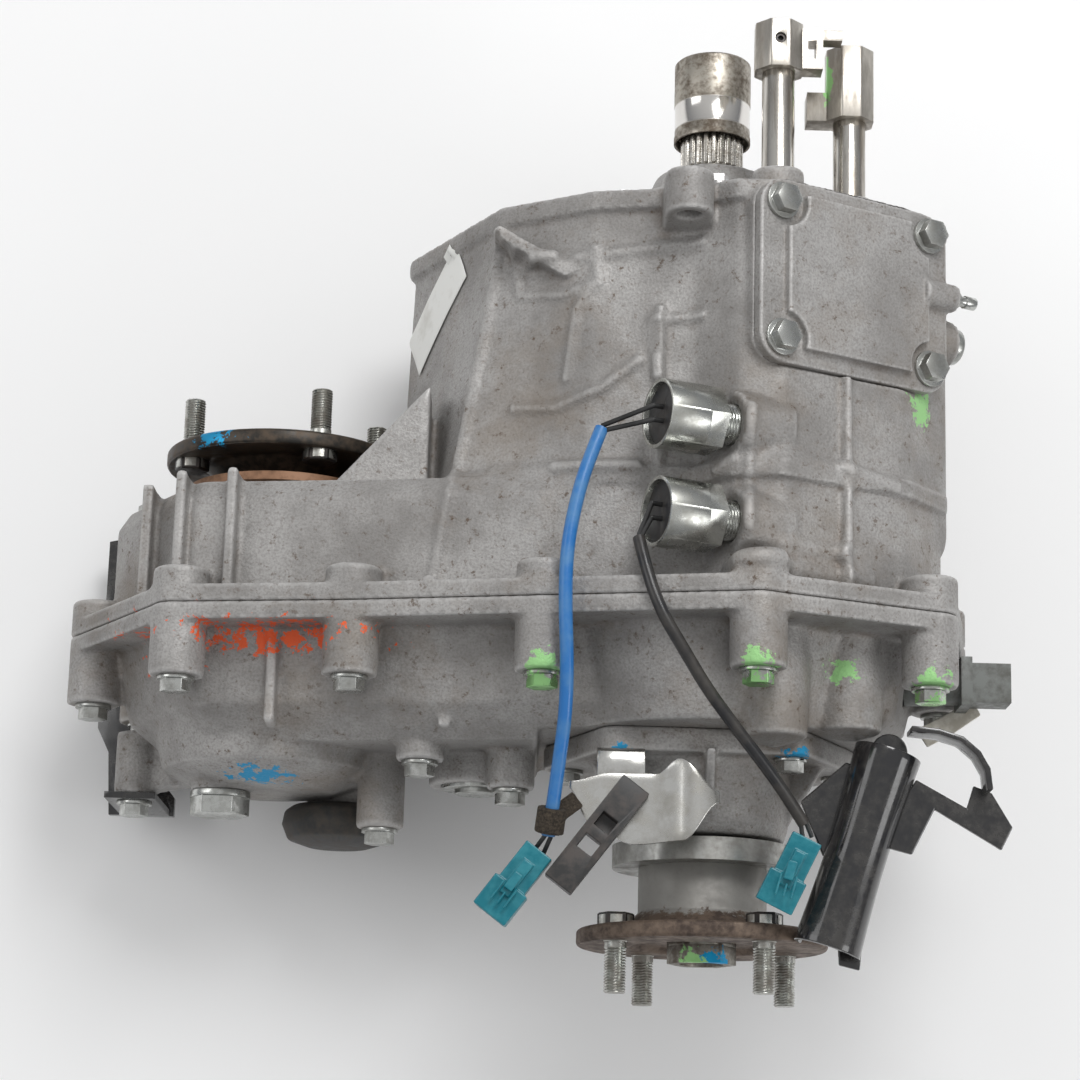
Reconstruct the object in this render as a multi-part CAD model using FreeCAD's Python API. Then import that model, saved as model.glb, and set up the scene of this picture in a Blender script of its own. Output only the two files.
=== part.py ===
import FreeCAD, Part
import math
import os

# Two-range transfer case for a full-time four-wheel-drive vehicle.  Millimetres.
# The origin is where the input axis meets the face that bolts to the gearbox adapter.
# +Y runs forward along the input axis, +Z is up and +X is the side away from the front output.

V = FreeCAD.Vector
os.makedirs("parts", exist_ok=True)

# ---- driving dimensions: casings
ADAPTER_Y = 0.0
PARTING_Y = -195.0
TAIL_JOINT_Y = -245.0
WALL = 6.0
JOINT_LIP = 12.0
JOINT_THICKNESS = 8.0
LOBE_FRONT_Y = -134.0
LOBE_REAR_Y = TAIL_JOINT_Y - 5.0
REST_Z = -130.0
RUN_GAP = 0.05
SEAT_GAP = 0.02
FREE_GAP = 0.4
FACE_GAP = 0.3

# outline of the main housing at the adapter face and at the joint, as (x, z) corners
NOSE_SECTION = [(-143, -45), (-98, 33), (-56, 58), (-12, 66), (8, 79), (28, 79), (84, 48),
                (106, 28), (106, -35), (64, -80), (0, -92), (-62, -86), (-125, -78)]
HEEL_SECTION = [(-148, -45), (-127, 43), (-60, 60), (-8, 63), (8, 82), (28, 84), (86, 54),
                (105, 26), (105, -38), (68, -82), (0, -95), (-66, -96), (-135, -88)]
SECTION_ROUND = 7.0

# outline of the chain housing, as (x, z) corners
LOBE_SECTION = [(-281, -38), (-236, 33), (-160, 45), (-75, 61), (30, 70), (88, 48),
                (103, -5), (84, -63), (29, -93), (-60, -103), (-150, -108), (-213, -107), (-262, -84)]

# bolts of the joint between the two halves, as (x, z), going round the joint
CASE_BOLTS = [(-286, -38), (-238, 39), (-160, 52), (-75, 72), (17, 93), (95, 60),
              (108, -5), (88, -66), (30, -98), (-60, -108), (-150, -113), (-215, -112), (-268, -86)]
BOLT_R = 4.0
BOLT_GAP = 0.3
BOSS_R = 12.5
CASE_BOLT_SEAT_Y = -227.0
CASE_BOSS_TOP_Y = -178.0

# ---- driving dimensions: chain drive
CHAIN_PITCH = 9.525
CHAIN_LINKS = 76
SPROCKET_TEETH = 33
FRONT_DROP = 38.0
CHAIN_WIDTH = 25.0
CHAIN_Y = -173.0
LINK_THICKNESS = 5.5

# ---- driving dimensions: planetary set
MODULE = 2.0
SUN_TEETH = 30
PLANET_TEETH = 9
PLANET_COUNT = 3
GEAR_WIDTH = 18.0
GEAR_Y = -38.0
RING_WALL = 4.5
CARRIER_PLATE = 5.0

# ---- driving dimensions: shafts and output flanges
SHAFT_R = 15.0
BEARING_SHAFT_R = 20.0
SLEEVE_R = 18.4
SLEEVE_FRONT_Y = 89.0
SLEEVE_REAR_Y = 48.0
SPLINE_REAR_Y = 34.0
SPLINE_END_Y = 67.0
SPLINE_R = 15.4
REAR_FLANGE_OUT = 47.4
FRONT_FLANGE_OUT = 29.3
FLANGE_R = 56.5
FLANGE_THICKNESS = 7.2
HUB_R = 29.0
STUD_R = 5.0
STUD_EDGE = 9.83
KNURL_R = 5.4
DEFLECTOR_R = 46.0
STUD_OUT = 22.6
REAR_STUD_TURN = 32.15
FRONT_STUD_TURN = 25.0

# ---- driving dimensions: shift gear
ROD_R = 7.5
RANGE_ROD = (26.5, 62.0)
LOCK_ROD = (61.0, 45.0)
RANGE_TRAVEL = 18.0
LOCK_TRAVEL = 8.0
HEAD_R = 11.0
RANGE_HEAD_Y = (59.0, 82.0)
LOCK_HEAD_Y = (42.0, 77.0)
RANGE_ROD_REAR_Y = -228.0
LOCK_ROD_REAR_Y = -234.0
COVER_TILT = 30.0
COVER_SEAT = 81.1
COVER_ALONG = -44.0
COVER_SIDE = 21.3
COVER_BOLT_U = 41.0
COVER_BOLT_V = 32.0
COVER_THICKNESS = 6.0

# ---- driving dimensions: switches
SWITCH_TILT = 24.0
SWITCH_THREAD_R = 9.0
SWITCH_ROOT_R = 8.1
SWITCH_CUP_R = 15.5
SWITCH_SEAT = (5.0, 79.0)
SWITCH_YS = (-115.0, -159.0)

# ---- driving dimensions: tail housing
TAIL_BOLT_R = 3.5
TAIL_BOLTS = [(-39, 38), (36, 36), (62, -14), (30, -54), (-30, -54), (-62, -14)]
TAIL_RIB_TURNS = (0, 73, 127, 180, 233, 287)
TAIL_LENGTH = 45.0
TAIL_END_R = 36.0

# ---- small features of the rear case and the pieces on it
COVER_SIDE_BOLTS = [((-129, 14), -258.0), ((-148, -24), -284.0), ((-88, 2), -268.0)]
PORT = (-104.0, -22.0)
PORT_R = 22.0
PORT_END_Y = -264.0
DRAIN = (-223.0, -30.0)
PLUG_SEAT_Y = -268.0
PLUG_R = 6.5
NOZZLE_BOSS_R = 6.5
SIDE_BOLT = (-267.0, -60.0)
GUARD_BOLT = (-267.0, -60.0)
GUARD_Z = -111.0
SIDE_BOLT_SEAT_Y = -266.0
DAMPER = (-170.0, -68.0)
LOCK_PLUG = (110.0, 18.0)
LOCK_PLUG_Y = -56.0
SHIELD_Z = 56.0
SHIELD_SHEET = 2.5
BRACKET_Z = 48.0
SENSOR_Y = -217.5
DAMPER_SEAT_Y = -268.0
PLANET_PIN_R = 3.5
CARRIER_R = 44.0
INPUT_STEP_R = 22.0
PILOT_R = 9.9
DOG_FRONT_Y = -39.5
BLUE_R = 3.0
BLACK_R = 2.75
BLUE_ROUTE = [(-52, -121, 88), (-57.5, -136, 90), (-62.5, -155, 91.5), (-66, -177, 92), (-66, -201, 91.5),
              (-64.5, -225, 88), (-64.5, -246, 81.5), (-66.5, -264, 75), (-68.5, -281, 69), (-70.5, -297, 64)]
BLACK_ROUTE = [(-35, -171, 93), (-31.5, -187, 98), (-25, -205, 100), (-15.5, -220, 98), (-5, -236, 93),
               (7.5, -251, 87), (20, -265, 80), (31, -278, 73), (39, -289, 67)]

# ---- values that follow
HALF_LINKS = (CHAIN_LINKS - SPROCKET_TEETH) / 2
CENTRES = HALF_LINKS * CHAIN_PITCH
FRONT_X = -math.sqrt(CENTRES ** 2 - FRONT_DROP ** 2)
FRONT = (FRONT_X, -FRONT_DROP)
SPROCKET_R = CHAIN_PITCH / (2 * math.sin(math.pi / SPROCKET_TEETH))
CHAIN_R = SPROCKET_R + 2.0
CAVITY_R = CHAIN_R + LINK_THICKNESS + 1.0
SUN_R = MODULE * SUN_TEETH / 2
PLANET_R = MODULE * PLANET_TEETH / 2
RING_TEETH = SUN_TEETH + 2 * PLANET_TEETH
RING_R = MODULE * RING_TEETH / 2
RING_OUT_R = RING_R + 1.25 * MODULE + RING_WALL
PLANET_ORBIT = SUN_R + PLANET_R
GEAR_FRONT_Y = GEAR_Y + GEAR_WIDTH / 2
GEAR_REAR_Y = GEAR_Y - GEAR_WIDTH / 2
TAIL_FLANGE_Y = TAIL_JOINT_Y - 11.0
TAIL_END_Y = TAIL_JOINT_Y - TAIL_LENGTH
REAR_HUB_END_Y = TAIL_END_Y - 2.0
REAR_FLANGE_Y = TAIL_END_Y - REAR_FLANGE_OUT
FRONT_HUB_END_Y = LOBE_FRONT_Y - 2.0
FRONT_FLANGE_Y = LOBE_FRONT_Y + FRONT_FLANGE_OUT
STUD_CIRCLE_R = FLANGE_R - STUD_EDGE
MAIN = (0.0, 0.0)


# ---- shared shapes

def tube(y0, y1, r, at=MAIN, bore=0.0):
    """Cylinder or ring along Y between two stations."""
    low = min(y0, y1)
    length = abs(y1 - y0)
    base = V(at[0], low, at[1])
    body = Part.makeCylinder(r, length, base, V(0, 1, 0))
    if bore > 0:
        body = body.cut(Part.makeCylinder(bore, length, base, V(0, 1, 0)))
    return body


def turned(profile, at=MAIN):
    """Solid turned about a Y axis from (radius, y) corners."""
    points = [V(at[0] + r, y, at[1]) for r, y in profile]
    face = Part.Face(Part.makePolygon(points + points[:1]))
    solid = face.revolve(V(at[0], 0, at[1]), V(0, 1, 0), 360)
    return upright(solid)


def upright(solid):
    """The same solid with its faces pointing outwards."""
    if solid.Volume < 0:
        solid.reverse()
    return solid


def bar(start, end, r, bore=0.0):
    """Round bar between two points."""
    run = end - start
    body = Part.makeCylinder(r, run.Length, start, run)
    if bore > 0:
        body = body.cut(Part.makeCylinder(bore, run.Length, start, run))
    return body


def block(x0, x1, y0, y1, z0, z1):
    """Box between six planes."""
    corner = V(min(x0, x1), min(y0, y1), min(z0, z1))
    return Part.makeBox(abs(x1 - x0), abs(y1 - y0), abs(z1 - z0), corner)


def fuse(first, *others):
    """One solid from several that meet."""
    return first.multiFuse(list(others)).removeSplitter()


def rounded_outline(points, radius, y):
    """Closed outline at one station, its corners replaced by arcs."""
    count = len(points)
    ends = []
    for i in range(count):
        before = V(points[i - 1][0], y, points[i - 1][1])
        corner = V(points[i][0], y, points[i][1])
        after = V(points[(i + 1) % count][0], y, points[(i + 1) % count][1])
        one = (before - corner).normalize()
        two = (after - corner).normalize()
        half = one.getAngle(two) / 2
        back = radius / math.tan(half)
        middle = (one + two).normalize() * (radius / math.sin(half) - radius)
        ends.append((corner + one * back, corner + middle, corner + two * back))
    edges = []
    for i in range(count):
        start, middle, end = ends[i]
        edges.append(Part.Arc(start, middle, end).toShape())
        edges.append(Part.LineSegment(end, ends[(i + 1) % count][0]).toShape())
    return Part.Wire(edges)


def inset(points, distance):
    """The corners of an outline moved inwards (clockwise outline) by a wall's thickness."""
    count = len(points)
    result = []
    for i in range(count):
        ax, az = points[i - 1]
        bx, bz = points[i]
        cx, cz = points[(i + 1) % count]
        l1 = math.hypot(bx - ax, bz - az)
        l2 = math.hypot(cx - bx, cz - bz)
        n1 = ((bz - az) / l1, -(bx - ax) / l1)
        n2 = ((cz - bz) / l2, -(cx - bx) / l2)
        scale = distance / (1 + n1[0] * n2[0] + n1[1] * n2[1])
        result.append((bx + (n1[0] + n2[0]) * scale, bz + (n1[1] + n2[1]) * scale))
    return result


def prism(points, y0, y1, radius):
    """Straight prism along Y on a rounded outline."""
    face = Part.Face(rounded_outline(points, radius, y0))
    return upright(face.extrude(V(0, y1 - y0, 0)))


def blend(points0, y0, points1, y1, radius):
    """Drafted prism between two rounded outlines."""
    wires = [rounded_outline(points0, radius, y0), rounded_outline(points1, radius, y1)]
    return upright(Part.makeLoft(wires, True, True))


def between(y):
    """Corners of the main housing at a station between the adapter face and the joint."""
    share = (y - ADAPTER_Y) / (PARTING_Y - ADAPTER_Y)
    corners = []
    for (x0, z0), (x1, z1) in zip(NOSE_SECTION, HEEL_SECTION):
        corners.append((x0 + (x1 - x0) * share, z0 + (z1 - z0) * share))
    return corners


def slab(points, z0, z1):
    """Prism along Z on straight (x, y) corners."""
    corners = [V(x, y, z0) for x, y in points]
    face = Part.Face(Part.makePolygon(corners + corners[:1]))
    return upright(face.extrude(V(0, 0, z1 - z0)))


def strip(points, y0, y1):
    """Prism along Y on straight (x, z) corners."""
    corners = [V(x, y0, z) for x, z in points]
    face = Part.Face(Part.makePolygon(corners + corners[:1]))
    return upright(face.extrude(V(0, y1 - y0, 0)))


def turn_point(r, degrees, at=MAIN):
    """Point on a circle about a Y axis, counted from +Z towards +X."""
    angle = math.radians(degrees)
    return (at[0] + r * math.sin(angle), at[1] + r * math.cos(angle))


def hexagon(across, height):
    """Hexagonal prism on the XY plane."""
    corner = across / math.sqrt(3)
    points = [V(corner * math.cos(math.radians(60 * i)), corner * math.sin(math.radians(60 * i)), 0)
              for i in range(6)]
    return upright(Part.Face(Part.makePolygon(points + points[:1])).extrude(V(0, 0, height)))


def flange_bolt(seat, away, r, length):
    """Flange bolt: seat is the centre under its head and away points out of its head."""
    washer = Part.makeCylinder(r * 2.1, r * 0.45)
    head = hexagon(r * 3.0, r * 1.75)
    shank = Part.makeCylinder(r, length, V(0, 0, -length))
    bolt = fuse(washer, head, shank)
    bolt.Placement = FreeCAD.Placement(seat, FreeCAD.Rotation(V(0, 0, 1), away))
    return bolt


def toothed(teeth, root_r, tip_r, width_share, y0, y1, at=MAIN, turn=0.0, tip_share=0.5):
    """Solid with straight-sided teeth along Y; the first tooth is at the turn angle."""
    step = 360.0 / teeth
    points = []
    for i in range(teeth):
        middle = turn + i * step
        wide = step * width_share / 2
        narrow = wide * tip_share
        for r, offset in ((root_r, -wide), (tip_r, -narrow), (tip_r, narrow), (root_r, wide)):
            x, z = turn_point(r, middle + offset, at)
            points.append(V(x, y0, z))
    face = Part.Face(Part.makePolygon(points + points[:1]))
    return upright(face.extrude(V(0, y1 - y0, 0)))


def cover_point(u, v, n):
    """Point on the tilted cover seat: u down the slope, v forward and n out of the seat."""
    tilt = math.radians(COVER_TILT)
    x = COVER_SEAT * math.sin(tilt) + (COVER_SIDE + u) * math.cos(tilt) + n * math.sin(tilt)
    z = COVER_SEAT * math.cos(tilt) - (COVER_SIDE + u) * math.sin(tilt) + n * math.cos(tilt)
    return V(x, COVER_ALONG + v, z)


def cover_plate(half_u, half_v, n0, n1, radius):
    """Rounded plate parallel to the cover seat."""
    plate = Part.makeBox(2 * half_u, 2 * half_v, n1 - n0, V(-half_u, -half_v, 0))
    uprights = [e for e in plate.Edges if abs(e.tangentAt(e.FirstParameter).z) > 0.9]
    plate = plate.makeFillet(radius, uprights)
    plate.Placement = FreeCAD.Placement(cover_point(0, 0, n0), FreeCAD.Rotation(V(0, 1, 0), COVER_TILT))
    return plate


COVER_OUT = cover_point(0, 0, 1) - cover_point(0, 0, 0)
SWITCH_OUT = V(-math.cos(math.radians(SWITCH_TILT)), 0, math.sin(math.radians(SWITCH_TILT)))
COVER_CORNERS = [(su * COVER_BOLT_U, sv * COVER_BOLT_V) for su in (-1, 1) for sv in (-1, 1)]


def switch_point(y, out):
    """Point on a switch's axis, counted outwards from its seat on the casing."""
    return V(SWITCH_SEAT[0], y, SWITCH_SEAT[1]) + SWITCH_OUT * out


# ---- bearings and seals, as (station range, outer radius, inner radius)
INPUT_BEARING = (ADAPTER_Y - 18.0, ADAPTER_Y, 40.0, BEARING_SHAFT_R)
RETAINER_R = 54.0
RETAINER_FACE_Y = 8.0
RETAINER_NOSE_Y = 28.0
NECK_R = 14.5
ADAPTER_BOLT_R = 5.5
ADAPTER_CIRCLE_R = 86.0
ADAPTER_TURN = -10.0
LARGE_BEARING = (36.0, 19.0)
SMALL_BEARING = (31.0, 16.0)
FRONT_BEARING = (LOBE_FRONT_Y - 3.0 - LARGE_BEARING[1], LOBE_FRONT_Y - 3.0, LARGE_BEARING[0], SHAFT_R)
MIDDLE_BEARING = (PARTING_Y - 9.0 - LARGE_BEARING[1], PARTING_Y - 9.0, LARGE_BEARING[0], SHAFT_R)
FRONT_END_BEARING = (PARTING_Y - 11.0 - SMALL_BEARING[1], PARTING_Y - 11.0, SMALL_BEARING[0], SHAFT_R)
TAIL_BEARING = (TAIL_JOINT_Y - 23.0 - SMALL_BEARING[1], TAIL_JOINT_Y - 23.0, SMALL_BEARING[0], SHAFT_R)
SEAL_BOSS_Y = LOBE_FRONT_Y + 6.0
SEAL_BOSS_R = 43.0

# ---- stations of the shift collars on the main axis
RANGE_COLLAR_Y = (-64.0, -80.0)
LOCK_COLLAR_Y = (-100.0, -114.0)
COLLAR_R = 34.0
GROOVE_R = 29.8
GROOVE_WIDTH = 6.0
DOG_R = 21.9
DOG_LENGTH = 8.0
DIFF_FACE_Y = -123.5
DIFF_REAR_Y = -153.0
DIFF_R = 42.0
LOCK_HUB_R = 22.0


def joint_outline(distance):
    """Corners of the joint's outline, counted outwards from the bolts."""
    return inset(CASE_BOLTS, -distance)


def front_case():
    lobe = blend(inset(LOBE_SECTION, 5), LOBE_FRONT_Y, LOBE_SECTION, LOBE_FRONT_Y - 9, 12)
    lobe = fuse(lobe, prism(LOBE_SECTION, LOBE_FRONT_Y - 9, PARTING_Y, 12))
    main = blend(NOSE_SECTION, ADAPTER_Y, HEEL_SECTION, PARTING_Y, SECTION_ROUND)
    rim = prism(inset(NOSE_SECTION, -3), ADAPTER_Y, ADAPTER_Y - 9, SECTION_ROUND)
    joint = prism(joint_outline(JOINT_LIP), PARTING_Y + JOINT_THICKNESS, PARTING_Y, JOINT_LIP - 1)
    shoulder = slab([(-130, -84), (-178, LOBE_FRONT_Y - 4), (-130, LOBE_FRONT_Y - 4)], 0, 26)
    room = tube(FRONT_FLANGE_Y + STUD_OUT + 6, LOBE_FRONT_Y, FLANGE_R + 3, FRONT)
    main = fuse(main, shoulder).cut(room)
    seal_boss = turned([(0, SEAL_BOSS_Y), (SEAL_BOSS_R, SEAL_BOSS_Y), (SEAL_BOSS_R, LOBE_FRONT_Y + 1),
                        (60, LOBE_FRONT_Y - 10), (47, FRONT_BEARING[0] - 1), (0, FRONT_BEARING[0] - 1)], FRONT)
    bosses = [tube(CASE_BOSS_TOP_Y, PARTING_Y, BOSS_R, p) for p in CASE_BOLTS]
    lug = fuse(tube(ADAPTER_Y, -20, 11, turn_point(ADAPTER_CIRCLE_R, ADAPTER_TURN)),
               block(-26, -4, ADAPTER_Y, -20, 60, 82))
    pad = cover_plate(COVER_BOLT_U + 11, COVER_BOLT_V + 11, -24, 0, 13)
    pad = pad.cut(block(-400, 400, ADAPTER_Y, 100, -200, 200))
    nose_range = tube(ADAPTER_Y - 2, 10, ROD_R + 4.5, RANGE_ROD)
    nose_lock = tube(ADAPTER_Y - 2, 3, ROD_R + 4.5, LOCK_ROD)
    bulge = fuse(tube(-42, -148, 19, (90, 16)), Part.makeSphere(19, V(90, -148, 16)))
    switch_bosses = [bar(switch_point(y, -26), switch_point(y, 0), SWITCH_THREAD_R + 6) for y in SWITCH_YS]
    rib_ring = blend(inset(between(-131), -3), -131, inset(between(-139), -3), -139, SECTION_ROUND)
    ribs = [blend([(x - 2, 20), (x - 2, z0), (x + 2, z0), (x + 2, 20)], -56,
                  [(x - 2, 20), (x - 2, z1), (x + 2, z1), (x + 2, 20)], PARTING_Y + 4, 1.5)
            for x, z0, z1 in ((-26, 66, 65), (58, 67, 74))]
    chain_ribs = [block(x - 2.5, x + 2.5, LOBE_FRONT_Y + 3, PARTING_Y + 2, FRONT[1], 41 + lift)
                  for x, lift in ((-241, -4), (-217, 4))]
    chain_ribs.append(block(-262, -257, LOBE_FRONT_Y + 3, PARTING_Y + 2, FRONT[1], 10))
    lip = slab([(-100, -22), (-70, -40), (-25, -18), (-25, -12), (-70, -33), (-100, -16)], 20, 56)
    feet = [bar(V(x, y, REST_Z), V(x, y, top), 13) for x, y, top in ((0, -24, -80), (62, -160, -60))]
    feet.append(bar(V(FRONT[0] - 6, -160, REST_Z), V(FRONT[0] - 6, -160, -100), 13))
    plug_boss = bar(plug_point(-24), plug_point(0), 11)
    outer = fuse(main, lobe, rim, joint, seal_boss, *bosses, lug, pad, nose_range, nose_lock,
                 bulge, *switch_bosses, rib_ring, *ribs, *chain_ribs, lip, *feet, plug_boss)
    hollow = blend(inset(between(-54), WALL), -54, inset(HEEL_SECTION, WALL), PARTING_Y - 1, 4)
    hollow = hollow.cut(tube(FRONT_FLANGE_Y + STUD_OUT + 6 + WALL, LOBE_FRONT_Y, FLANGE_R + 3 + WALL, FRONT))
    lobe_hollow = prism(inset(LOBE_SECTION, WALL), LOBE_FRONT_Y - WALL, PARTING_Y - 1, 7)
    keep = tube(LOBE_FRONT_Y, FRONT_BEARING[0] - 1, 46, FRONT)
    lobe_hollow = lobe_hollow.cut(keep)
    b_rear, b_front, b_out, _ = INPUT_BEARING
    f_rear, f_front, f_out, _ = FRONT_BEARING
    cuts = [hollow, lobe_hollow,
            tube(b_rear, b_front + 1, b_out + SEAT_GAP),
            tube(-60, b_rear, RING_R - 3),
            tube(GEAR_REAR_Y - 16, GEAR_FRONT_Y, RING_OUT_R + SEAT_GAP),
            tube(SEAL_BOSS_Y + 1, f_front + 1, HUB_R + 7 + SEAT_GAP, FRONT),
            tube(f_rear, f_front + 1, f_out + SEAT_GAP, FRONT),
            tube(f_rear - 2, f_rear + 1, f_out - 4, FRONT),
            tube(PARTING_Y - 1, 20, ROD_R + RUN_GAP, RANGE_ROD),
            tube(PARTING_Y - 1, 20, ROD_R + RUN_GAP, LOCK_ROD)]
    cuts.append(cover_plate(COVER_BOLT_U - 10, COVER_BOLT_V - 9, -22, 1, 6))
    cuts.append(cover_plate(COVER_BOLT_U + 11.3, COVER_BOLT_V + 11.3, 0, 30, 13))
    for u, v in COVER_CORNERS:
        cuts.append(bar(cover_point(u, v, -9), cover_point(u, v, 1), BOLT_R))
    cuts.append(bar(plug_point(-12), plug_point(1), PLUG_R))
    cuts.append(bar(plug_point(0), plug_point(12), PLUG_R + 4))
    cuts.append(bar(plug_point(-50), plug_point(-11), PLUG_R - 3))
    for y in SWITCH_YS:
        cuts.append(bar(switch_point(y, -30), switch_point(y, 8), SWITCH_THREAD_R))
    cuts.append(tube(LOBE_FRONT_Y + 1, LOBE_FRONT_Y - 10, BOLT_R, GUARD_BOLT))
    for p in CASE_BOLTS:
        cuts.append(tube(CASE_BOSS_TOP_Y - 2, PARTING_Y - 1, BOLT_R, p))
    for i in range(4):
        p = turn_point(ADAPTER_CIRCLE_R, ADAPTER_TURN + 90 * i)
        cuts.append(tube(ADAPTER_Y + 1, -21, ADAPTER_BOLT_R, p))
    for i in range(6):
        cuts.append(tube(ADAPTER_Y + 1, -14, 3, turn_point(RETAINER_R - 6, 60 * i)))
    return outer.cut(cuts)


def rear_case():
    joint = prism(joint_outline(JOINT_LIP), PARTING_Y, PARTING_Y - JOINT_THICKNESS, JOINT_LIP - 1)
    lobe = blend(LOBE_SECTION, PARTING_Y, inset(LOBE_SECTION, 10), LOBE_REAR_Y + 14, 11)
    back = blend(inset(LOBE_SECTION, 10), LOBE_REAR_Y + 14, inset(LOBE_SECTION, 26), LOBE_REAR_Y, 6)
    lobe, back = [shape.cut(block(-76, 300, TAIL_JOINT_Y, -300, -200, 200)) for shape in (lobe, back)]
    chain_cover = turned([(0, LOBE_REAR_Y + 20), (58, LOBE_REAR_Y + 20), (50, LOBE_REAR_Y - 8),
                          (30, LOBE_REAR_Y - 16), (0, LOBE_REAR_Y - 16)], FRONT)
    waist = turned([(0, PARTING_Y - 2), (84, PARTING_Y - 2), (70, TAIL_JOINT_Y), (0, TAIL_JOINT_Y)])
    bosses = [tube(PARTING_Y, CASE_BOLT_SEAT_Y, BOSS_R, p) for p in CASE_BOLTS]
    rod_ends = [turned([(0, PARTING_Y - 3), (16, PARTING_Y - 3), (14.5, end + 5), (0, end)], rod)
                for rod, end in ((RANGE_ROD, -256.0), (LOCK_ROD, -250.0))]
    long_bosses = [tube(LOBE_REAR_Y + 30, seat, BOLT_R + 7, p) for p, seat in COVER_SIDE_BOLTS]
    port = fuse(tube(LOBE_REAR_Y + 20, PORT_END_Y, PORT_R, PORT),
                tube(LOBE_REAR_Y + 20, PLUG_SEAT_Y, 14, DRAIN))
    damper_seat = tube(LOBE_REAR_Y + 20, DAMPER_SEAT_Y, 14, DAMPER)
    tail_seat = prism(inset(TAIL_BOLTS, -11), TAIL_JOINT_Y + 14, TAIL_JOINT_Y, 10)
    ribs = [slab([(x - 2.5, PARTING_Y - 6), (x + 2.5, PARTING_Y - 6), (x + 2.5, LOBE_REAR_Y + 4),
                  (x - 2.5, LOBE_REAR_Y + 4)], FRONT[1], 38) for x in (-196, -118)]
    feet = [bar(V(x, y, REST_Z), V(x, y, -88), 13) for x, y in ((FRONT[0] - 6, -214), (20, -212))]
    arm = slab([(-262, -232), (-215, LOBE_REAR_Y + 2), (-215, -256), (-262, SIDE_BOLT_SEAT_Y + 1)], -66, -54)
    stand = tube(-236, SIDE_BOLT_SEAT_Y, 10, SIDE_BOLT)
    outer = fuse(joint, lobe, back, chain_cover, waist, *bosses, *rod_ends, *long_bosses, port, tail_seat,
                 *ribs, *feet, arm, stand, damper_seat)
    hollow = blend(inset(LOBE_SECTION, WALL), PARTING_Y + 1, inset(LOBE_SECTION, 10 + WALL), LOBE_REAR_Y + 14, 6)
    m_rear, m_front, m_out, _ = MIDDLE_BEARING
    e_rear, e_front, e_out, _ = FRONT_END_BEARING
    keep = fuse(tube(m_front, LOBE_REAR_Y, m_out + 6), tube(e_front, LOBE_REAR_Y, e_out + 6, FRONT))
    rods = [tube(PARTING_Y - 3, LOBE_REAR_Y, 11.5, p) for p in (RANGE_ROD, LOCK_ROD)]
    hollow = hollow.cut([keep, *rods])
    cuts = [hollow,
            tube(m_rear, m_front + 1, m_out + SEAT_GAP),
            tube(TAIL_JOINT_Y - 12, m_rear + 1, SHAFT_R + 7),
            tube(e_rear, e_front + 1, e_out + SEAT_GAP, FRONT),
            tube(e_rear - 6, e_rear + 1, SHAFT_R + 3, FRONT),
            tube(PARTING_Y + 1, RANGE_ROD_REAR_Y - RANGE_TRAVEL - 2, ROD_R + RUN_GAP, RANGE_ROD),
            tube(PARTING_Y + 1, LOCK_ROD_REAR_Y - LOCK_TRAVEL - 2, ROD_R + RUN_GAP, LOCK_ROD),
            tube(PORT_END_Y - 1, PORT_END_Y + 5, PORT_R - 6, PORT),
            tube(PLUG_SEAT_Y - 1, PLUG_SEAT_Y + 16, 9, DRAIN),
            tube(SIDE_BOLT_SEAT_Y - 1, -248, BOLT_R, SIDE_BOLT),
            bar(V(84, SENSOR_Y, 12), V(118, SENSOR_Y, 12 + 8.5), 9 + SEAT_GAP)]
    for p in CASE_BOLTS:
        cuts.append(tube(CASE_BOLT_SEAT_Y - 1, PARTING_Y + 1, BOLT_R + BOLT_GAP, p))
    for p, seat in COVER_SIDE_BOLTS:
        cuts.append(tube(seat - 1, seat + 18, BOLT_R, p))
    for p in TAIL_BOLTS:
        cuts.append(tube(TAIL_JOINT_Y - 1, TAIL_JOINT_Y + 12, TAIL_BOLT_R, p))
    return outer.cut(cuts)


def tail_housing():
    flange = prism(inset(TAIL_BOLTS, -11), TAIL_JOINT_Y, TAIL_FLANGE_Y, 10)
    cone = turned([(0, TAIL_FLANGE_Y + 2), (43, TAIL_FLANGE_Y + 2), (TAIL_END_R + 2, TAIL_END_Y + 6),
                   (TAIL_END_R, TAIL_END_Y), (0, TAIL_END_Y)])
    rib = strip([(-2, 30), (2, 30), (2, 58), (-2, 58)], TAIL_FLANGE_Y + 2, TAIL_END_Y + 4)
    slope = slab([(-3, TAIL_FLANGE_Y + 1), (-3, TAIL_END_Y), (3, TAIL_END_Y), (3, TAIL_FLANGE_Y + 1)], 0, 60)
    wedge = Part.makeLoft([Part.makePolygon([V(-2, y, 30), V(2, y, 30), V(2, y, top), V(-2, y, top), V(-2, y, 30)])
                           for y, top in ((TAIL_FLANGE_Y + 1, 56), (TAIL_END_Y + 4, TAIL_END_R + 1))], True, True)
    wedge = upright(wedge.common(slope).common(rib))
    ribs = []
    for turn in TAIL_RIB_TURNS:
        copy = wedge.copy()
        copy.rotate(V(0, 0, 0), V(0, 1, 0), turn)
        ribs.append(copy)
    outer = fuse(flange, cone, *ribs)
    t_rear, t_front, t_out, _ = TAIL_BEARING
    cuts = [tube(TAIL_JOINT_Y + 1, t_front, SHAFT_R + 9),
            tube(t_rear, t_front, t_out + SEAT_GAP),
            tube(TAIL_END_Y - 1, t_rear + 1, HUB_R - 2)]
    for p in TAIL_BOLTS:
        cuts.append(tube(TAIL_JOINT_Y + 1, TAIL_FLANGE_Y - 1, TAIL_BOLT_R + BOLT_GAP, p))
    return outer.cut(cuts)


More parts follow.
